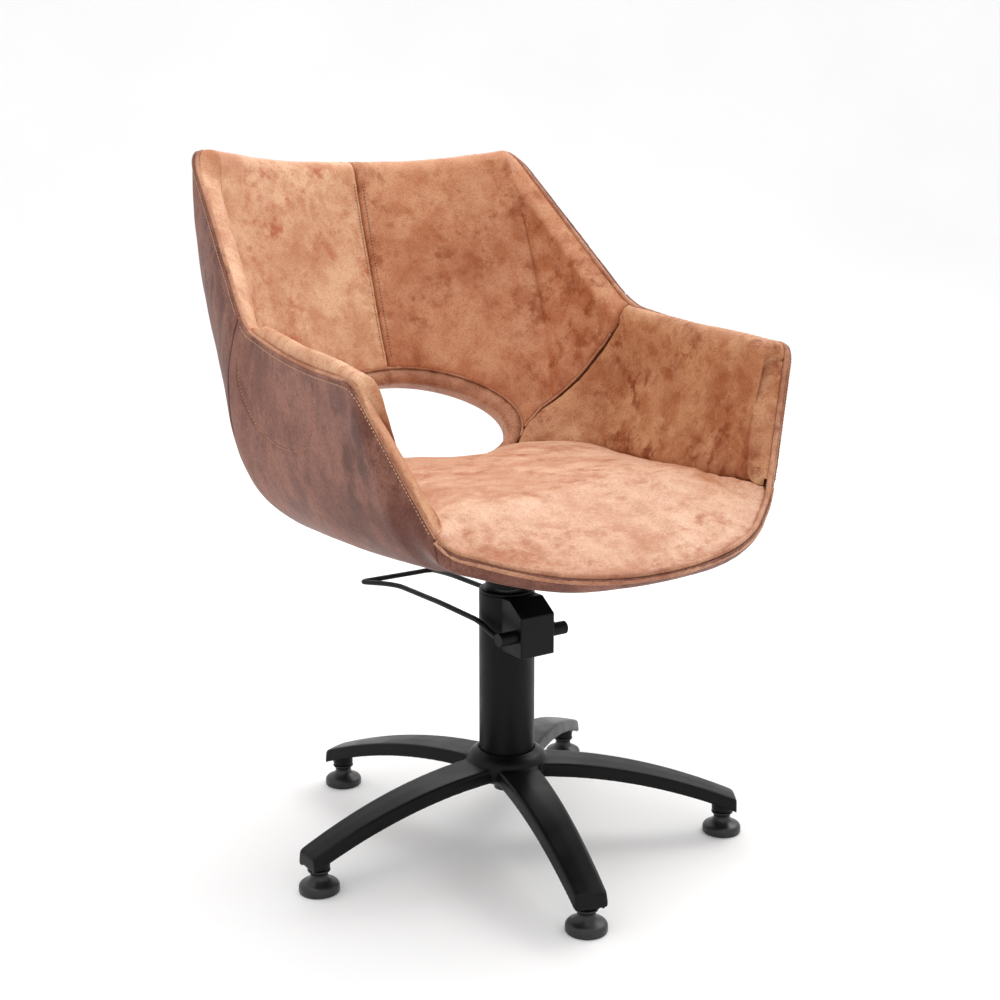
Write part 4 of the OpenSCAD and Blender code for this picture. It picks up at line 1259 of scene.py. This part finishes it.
def seams():
    """Topstitching, and the raised seam between the inner arms and the inner back."""
    v = np.linspace(0.035, OPENING_V - OPENING_DV - 0.05, 260)
    for name, side in (("a", -1), ("b", 1)):
        u, v2 = beside(np.full_like(v, BACK), v, side * 7.0)
        stitches("centre_stitches_" + name, [seam_path(u, v2, PAD_TOP + 0.4)])
    us = np.linspace(BORDER_U + 0.03, ARM_BACK_U - 0.03, 500)
    row = 5.0 / v_length(us)
    back_us = np.linspace(ARM_BACK_U + 0.02, BACK, 420)
    back_row = 5.0 / v_length(back_us)
    stitches("rim_stitches", [seam_path(us, row, -0.1, True),
                              seam_path(back_us, back_row, -0.1, True)], True)
    t = np.linspace(0.03, 0.97, 240)
    dart = seam_path(smooth_list(DART_U, t), smooth_list(DART_V, t), 0.9, True)
    stitches("dart_stitches", [dart], True)
    # the inner seam stands up as a narrow lip, moved down near the rim as the pads are by their roll
    t = np.linspace(0.07, SEAM_JOINT - 0.01, 200)
    u = smooth_list(INNER_SEAM_U, t)
    seam_v = smooth_list(INNER_SEAM_V, t)
    v = seam_v + ROLL_REACH / v_length(u) * np.clip(1 - seam_v / ROLL_FADE, 0, 1)
    path = inside(u, v, PAD_TOP - 1.6)
    right = tube(place(path), 1.7 * MM, 10)
    left = tube(place(mirrored(path)), 1.7 * MM, 10)
    points, faces = joined([right, left])
    new_piece("inner_seam_lip", points, faces, "seat", HIDE["welt"])
    # stitches down the front ends of the arms, beside the piping
    first_u = BORDER_U + 0.04
    last_u = 2.93
    t = np.linspace(0.10, 0.97, 220)
    u = first_u + (last_u - first_u) * t
    v = 3.0 / v_length(u)
    stitches("arm_front_stitches", [seam_path(u, v, PIPING_DEPTH + 7.5)], True)


# ================================================================ metal parts

def arched(x):
    """Height of a leg's top at a distance from the column axis, in mm."""
    return 108 - (x - 40) ** 2 / 1280


GLIDE_R = math.hypot(middle("glide_1").x - COLUMN.x, middle("glide_1").y - COLUMN.y) / MM
FIRST_LEG = math.atan2(middle("glide_1").y - COLUMN.y, middle("glide_1").x - COLUMN.x)
LEG_ANGLES = [FIRST_LEG + 2 * math.pi / 5 * i for i in range(5)]
LEG_END = GLIDE_R + 17
LEG_WALL = 6                             # mm of metal at the sides and above the hollow
LEG_SKIRT = 18                           # how far a leg's sides hang down, in mm


def turned_to(points, angle):
    """Points in mm turned about the column axis."""
    points = np.asarray(points, float)
    c, s = math.cos(angle), math.sin(angle)
    x = points[..., 0] * c - points[..., 1] * s
    y = points[..., 0] * s + points[..., 1] * c
    return np.stack([x, y, points[..., 2]], axis=-1)


def leg_shell():
    """One leg as a closed loft: flat top with crisp rounded edges, leaning sides, hollow below."""
    near_hub = 55
    at_tip = 39
    tip = 6                                  # mm over which the end rounds off
    lean = LEG_SKIRT * math.tan(math.radians(8))
    xs = np.concatenate([np.linspace(26, LEG_END - tip, 60),
                         LEG_END - tip + tip * np.sin(np.linspace(0.2, math.pi / 2, 7))])
    sections = []
    for x in xs:
        width = near_hub + (at_tip - near_hub) * (x - 40) / (LEG_END - 40)
        near_end = max(0.0, (x - (LEG_END - tip)) / tip)
        pull = 3.0 * (1 - math.sqrt(max(0.0, 1 - near_end ** 2)))
        half = width / 2 - pull
        top = arched(x) - pull * 0.6
        hollow = 66 < x < GLIDE_R - 24
        roof = top - (LEG_WALL if hollow else LEG_SKIRT - 0.3)
        skirt = top - LEG_SKIRT
        outline = rounded([(-half - lean + LEG_WALL, skirt), (-half - lean, skirt), (-half, top),
                           (0, top + 0.8), (half, top), (half + lean, skirt),
                           (half + lean - LEG_WALL, skirt)], 3.4, 5)
        inner = [(half - LEG_WALL, roof), (0, roof + 0.1), (-half + LEG_WALL, roof)]
        sections.append([(x, y, z) for y, z in outline + inner])
    grid = np.array(sections)
    rows, cols = grid.shape[:2]
    faces = grid_faces(rows, cols, closed=True)
    faces.append(tuple(range(cols)))
    faces.append(tuple((rows - 1) * cols + c for c in range(cols - 1, -1, -1)))
    return grid.reshape(-1, 3), faces


def star_base():
    """Cast base: hub with a rolled collar and five legs, blended by a remesh."""
    hub = rounded([(0, 84), (44, 84), (50, 90), (53, 96), (54, 104), (53, 112), (48, 118), (42, 121),
                   (39.5, 124), (TUBE_R + 0.3, 124), (TUBE_R + 0.3, 100), (0, 100)], 5, 5)
    leg, leg_faces = leg_shell()
    boss, boss_faces = lathe([(0, 30.3), (13.2, 30.3), (14, 31.1), (14, 50), (0, 50)], 48)
    parts = [lathe(hub, 120)]
    for angle in LEG_ANGLES:
        parts.append((turned_to(leg, angle), leg_faces))
        parts.append((turned_to(boss + np.array([GLIDE_R, 0, 0]), angle), boss_faces))
    solids = [new_piece(f"base_part_{i}", place(points), faces, "base", BLACK_CAST)
              for i, (points, faces) in enumerate(parts)]
    body = merge(solids, "star_base_casting")
    remesh(body, 0.0016)
    ease = body.modifiers.new("ease", "SMOOTH")
    ease.iterations = 5
    ease.factor = 0.5
    apply_modifiers(body)
    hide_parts("star_base")


def merge(pieces, name):
    """Several pieces as one object."""
    bpy.ops.object.select_all(action="DESELECT")
    for piece in pieces:
        piece.select_set(True)
    bpy.context.view_layer.objects.active = pieces[0]
    bpy.ops.object.join()
    pieces[0].name = name
    pieces[0].data.name = name
    return pieces[0]


def apply_modifiers(piece):
    """Turns a piece's modifiers into its mesh."""
    bpy.context.view_layer.update()
    depsgraph = bpy.context.evaluated_depsgraph_get()
    mesh = bpy.data.meshes.new_from_object(piece.evaluated_get(depsgraph))
    old = piece.data
    piece.modifiers.clear()
    piece.data = mesh
    bpy.data.meshes.remove(old)


def remesh(piece, size):
    """One closed skin with even squares of a size in metres."""
    modifier = piece.modifiers.new("skin", "REMESH")
    modifier.mode = "VOXEL"
    modifier.voxel_size = size
    modifier.use_smooth_shade = True
    apply_modifiers(piece)


def pump_head():
    """Cast block on the front of the pump tube, with rounded edges and a slope at its front top."""
    block_low, block_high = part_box("pump_housing")
    half = (block_high.x - block_low.x) / 2 / MM
    front = (block_low.y - COLUMN.y) / MM
    low = block_low.z / MM
    high = block_high.z / MM
    chamfer_y = front + 26
    chamfer_z = high - 18
    seat_r = TUBE_R - 1.0                # the block's back is hollowed to sit on the tube
    arc = [(x, -math.sqrt(seat_r ** 2 - x ** 2)) for x in np.linspace(half, -half, 17)]
    points = []
    for face_y, z in ((front, low), (front, chamfer_z), (chamfer_y, high)):
        points += [(x, y, z) for x, y in [(-half, face_y), (half, face_y)] + arc]
    n = len(arc) + 2
    faces = [tuple(range(n - 1, -1, -1)), tuple(range(2 * n, 3 * n))]
    for start in (0, n):
        faces += [(start + k, start + (k + 1) % n, start + n + (k + 1) % n, start + n + k)
                  for k in range(n)]
    piece = new_piece("pump_head_block", place(points), faces, "base", BLACK_CAST, False)
    edges = piece.modifiers.new("edges", "BEVEL")
    edges.width = 2.2 * MM
    edges.segments = 4
    edges.limit_method = "ANGLE"
    edges.angle_limit = math.radians(30)
    edges.harden_normals = True
    apply_modifiers(piece)
    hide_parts("pump_housing")


def return_spring():
    """The plunger's spring, which shortens as the plunger is pushed down, built as one fixed coil at
    its rest length.
    """
    low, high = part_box("plunger_spring")
    wire_r = 0.45
    turns = 2.5
    coil_r = (high.x - low.x) / 2 / MM - wire_r
    t = np.linspace(0, 1, 90)
    turn = 2 * math.pi * turns * t
    axis_y = (middle("plunger").y - COLUMN.y) / MM
    bottom = low.z / MM + wire_r
    rise = (high.z - low.z) / MM - 2 * wire_r
    path = np.stack([coil_r * np.cos(turn), axis_y + coil_r * np.sin(turn), bottom + rise * t], axis=1)
    points, faces = tube(place(path), wire_r * MM, 10)
    zinc = metal("spring_wire", srgb(170, 172, 176), srgb(110, 110, 112), 0.3)
    piece = new_piece("return_spring", points, faces, "base", zinc)
    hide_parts("plunger_spring")
    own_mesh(piece)


def pedal_wire():
    """Bent wire foot bar, from one collar round behind the column to the other."""
    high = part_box("pedal_bail")[1]
    arm_x = 46.0
    shaft = middle("pedal_shaft")
    shaft_y = (shaft.y - COLUMN.y) / MM
    shaft_z = shaft.z / MM
    wire_r = 3.6
    far = (high.y - COLUMN.y) / MM - wire_r
    top = 306.0
    half = [(arm_x, shaft_y + 6.6, shaft_z), (arm_x, shaft_y + 20, shaft_z + 1.5),
            (arm_x, shaft_y + 54, top - 1), (arm_x, 90, top + 1), (arm_x, 196, top),
            (arm_x + 4, 226, top - 3), (59, far - 8, 295.5), (52, far, 294.2), (40, far, 294)]
    route = np.array(half + [(-x, y, z) for x, y, z in half[::-1]], float)
    points, faces = tube(place(rounded(route, 12.0, 9)), wire_r * MM, 18)
    piece = new_piece("pedal_wire", points, faces, "pedal", BLACK_STEEL)
    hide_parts("pedal_bail")


def glides():
    """Levelling glides: a foot, a waist, a collar and a stem."""
    outline = rounded([(0, 0), (24, 0), (25.5, 1.5), (25.5, 9), (23, 12), (17, 14.5), (12.2, 18),
                       (10.6, 22.5), (12.0, 26.4), (14.3, 28), (14.3, 30.1), (0, 30.1)], 2.4, 6)
    stem = lathe([(0, 30.1), (4.9, 30.1), (4.9, 45.8), (0, 45.8)], 32)
    glide, faces = joined([lathe(outline, 84), stem])
    for i, angle in enumerate(LEG_ANGLES):
        points = turned_to(glide + np.array([GLIDE_R, 0, 0]), angle)
        piece = new_piece(f"glide_foot_{i + 1}", place(points), faces, f"glide_{i + 1}",
                          BLACK_PLASTIC)
        soften_shading(piece, 40)
        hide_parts(f"glide_{i + 1}")


def soften_shading(piece, degrees):
    """Smooth shading except across edges sharper than an angle."""
    mesh = piece.data
    work = bmesh.new()
    work.from_mesh(mesh)
    limit = math.radians(degrees)
    for edge in work.edges:
        edge.smooth = len(edge.link_faces) == 2 and edge.calc_face_angle(0.0) < limit
    work.to_mesh(mesh)
    work.free()


def turned_piece(name, outline, material, node):
    """A steel piece turned about the column axis."""
    points, faces = lathe(outline, 160)
    piece = new_piece(name, place(points), faces, "base", material)
    soften_shading(piece, 35)
    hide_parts(node)


def column():
    """The pump tube and its cap with rounded edges."""
    cap_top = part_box("top_cap")[1].z / MM
    outline = rounded([(0, TUBE_BOTTOM), (TUBE_R, TUBE_BOTTOM), (TUBE_R, TUBE_TOP - 0.6),
                       (TUBE_R - 0.7, TUBE_TOP), (TUBE_R - 3, TUBE_TOP), (0, TUBE_TOP)], 0.5, 3)
    turned_piece("pump_tube_skin", outline, BLACK_STEEL, "pump_tube")
    ram_hole = 18.5
    floor = TUBE_TOP + 0.5
    outline = rounded([(0, TUBE_TOP), (TUBE_R, TUBE_TOP), (TUBE_R, cap_top - 2), (TUBE_R - 2, cap_top),
                       (ram_hole + 1, cap_top), (ram_hole, cap_top - 1), (ram_hole, floor), (0, floor)],
                      1.2, 5)
    turned_piece("top_cap_ring", outline, BLACK_CAST, "top_cap")


def carried_over():
    """Procedural finishes on the CAD nodes that stay."""
    zinc = metal("zinc_plate", srgb(170, 172, 176), srgb(120, 120, 122), 0.34)
    steel = metal("machined_steel", srgb(150, 150, 152), srgb(90, 90, 92), 0.28)
    chrome = metal("hard_chrome", srgb(214, 216, 220), srgb(180, 182, 188), 0.10)
    bronze = metal("bearing_bronze", srgb(178, 132, 74), srgb(120, 84, 46), 0.32)
    seal = rubber("seal_rubber", srgb(24, 24, 25), srgb(50, 48, 48), 0.6)
    board = plywood("birch_ply")
    shell = powder_coat("moulded_shell", srgb(96, 62, 46), srgb(118, 80, 60), 0.5)
    finish = {
        "hub_cap": BLACK_PLASTIC, "base_nut": zinc, "tube_plug": steel, "pump_liner": steel,
        "guide_bush": bronze, "rod_seal": seal, "plunger_block": steel, "plunger": steel,
        "pedal_shaft": zinc, "pedal_cam": steel, "pedal_hubs": BLACK_STEEL,
        "piston_head": steel, "piston_seal": seal, "thrust_washer": bronze, "ram": chrome,
        "seat_mount": BLACK_STEEL, "mount_bolts": zinc, "seat_board": board, "tee_nuts": zinc,
        "tub_shell": shell,
    }
    for node, material in finish.items():
        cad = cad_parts[node]
        cad.data.materials.clear()
        cad.data.materials.append(material)


# ================================================================ floor, light and camera

def floor_material():
    """A pale, matt and very slightly cloudy paint."""
    n = Nodes("floor_pale")
    cloud = n.noise(1.5, detail=2.0)
    value = 0.95
    dimmer = value * 0.98
    shade = n.mix(n.remap(cloud, 0.3, 0.7), (value, value, value, 1), (dimmer, dimmer, dimmer, 1))
    return n.finish(shade, 0.75)


def stage():
    """A plain pale floor that curves up into a wall far behind, square to the camera."""
    reach = 9.0
    bend_from = 3.0
    bend_r = 3.0
    line = [(-reach, 0.0), (bend_from, 0.0)]
    line += [(bend_from + bend_r * math.sin(a), bend_r - bend_r * math.cos(a))
             for a in np.linspace(0.05, math.pi / 2, 24)]
    line.append((bend_from + bend_r, reach))
    turn = math.radians(-34.4)
    points = [(x * math.cos(turn) - y * math.sin(turn), x * math.sin(turn) + y * math.cos(turn), z)
              for x in (-reach, reach) for y, z in line]
    n = len(line)
    faces = [(k, k + 1, n + k + 1, n + k) for k in range(n - 1)]
    mesh = bpy.data.meshes.new("floor")
    mesh.from_pydata(points, [], faces)
    mesh.polygons.foreach_set("use_smooth", [True] * len(faces))
    floor = bpy.data.objects.new("floor", mesh)
    mesh.materials.append(floor_material())
    bpy.context.scene.collection.objects.link(floor)


def aim(thing, position, target):
    """Puts a lamp or the camera at a position in metres, looking at a target, and links it."""
    thing.location = position
    way = Vector(target) - Vector(position)
    thing.rotation_euler = way.to_track_quat("-Z", "Y").to_euler()
    bpy.context.scene.collection.objects.link(thing)


def lamp(name, position, energy, size, colour=(1, 1, 1)):
    """An area lamp turned to the chair's middle. size is its width in metres."""
    data = bpy.data.lights.new(name, "AREA")
    data.energy = energy
    data.color = colour
    data.shape = "RECTANGLE"
    data.size = size
    data.size_y = size * 0.8
    aim(bpy.data.objects.new(name, data), position, (0, 0, 0.55))


def lights():
    """Soft studio light: a white world, a large lamp on the right, one overhead and one behind."""
    lamp("key", (2.5, 0.3, 2.8), 46, 2.2, (1.0, 0.99, 0.97))
    lamp("top", (-0.3, 0.0, 3.1), 26, 2.4)
    lamp("rim", (1.4, 2.4, 2.3), 10, 1.6)
    world = bpy.data.worlds.new("studio")
    world.use_nodes = True
    background = world.node_tree.nodes["Background"]
    background.inputs["Color"].default_value = (1, 1, 1, 1)
    background.inputs["Strength"].default_value = 1.0
    bpy.context.scene.world = world
    bpy.context.scene.view_settings.view_transform = "Standard"


def camera():
    """The photo's view: from the front left and a little above, fitted to the chair's outline."""
    azimuth = math.radians(-34.41)
    pitch = math.radians(12.35)
    distance = 1998.8
    right = np.array([math.cos(azimuth), math.sin(azimuth), 0])
    away = np.array([math.sin(azimuth) * math.cos(pitch), -math.cos(azimuth) * math.cos(pitch),
                     math.sin(pitch)])
    target = np.array([0, 0, 458.2]) - right * 8.96
    data = bpy.data.cameras.new("camera")
    data.lens = 55.94
    data.sensor_width = 36
    view = bpy.data.objects.new("camera", data)
    aim(view, place(target + away * distance), place(target))
    bpy.context.scene.camera = view


upholstery()
star_base()
pump_head()
return_spring()
column()
pedal_wire()
glides()
carried_over()
stage()
lights()
camera()
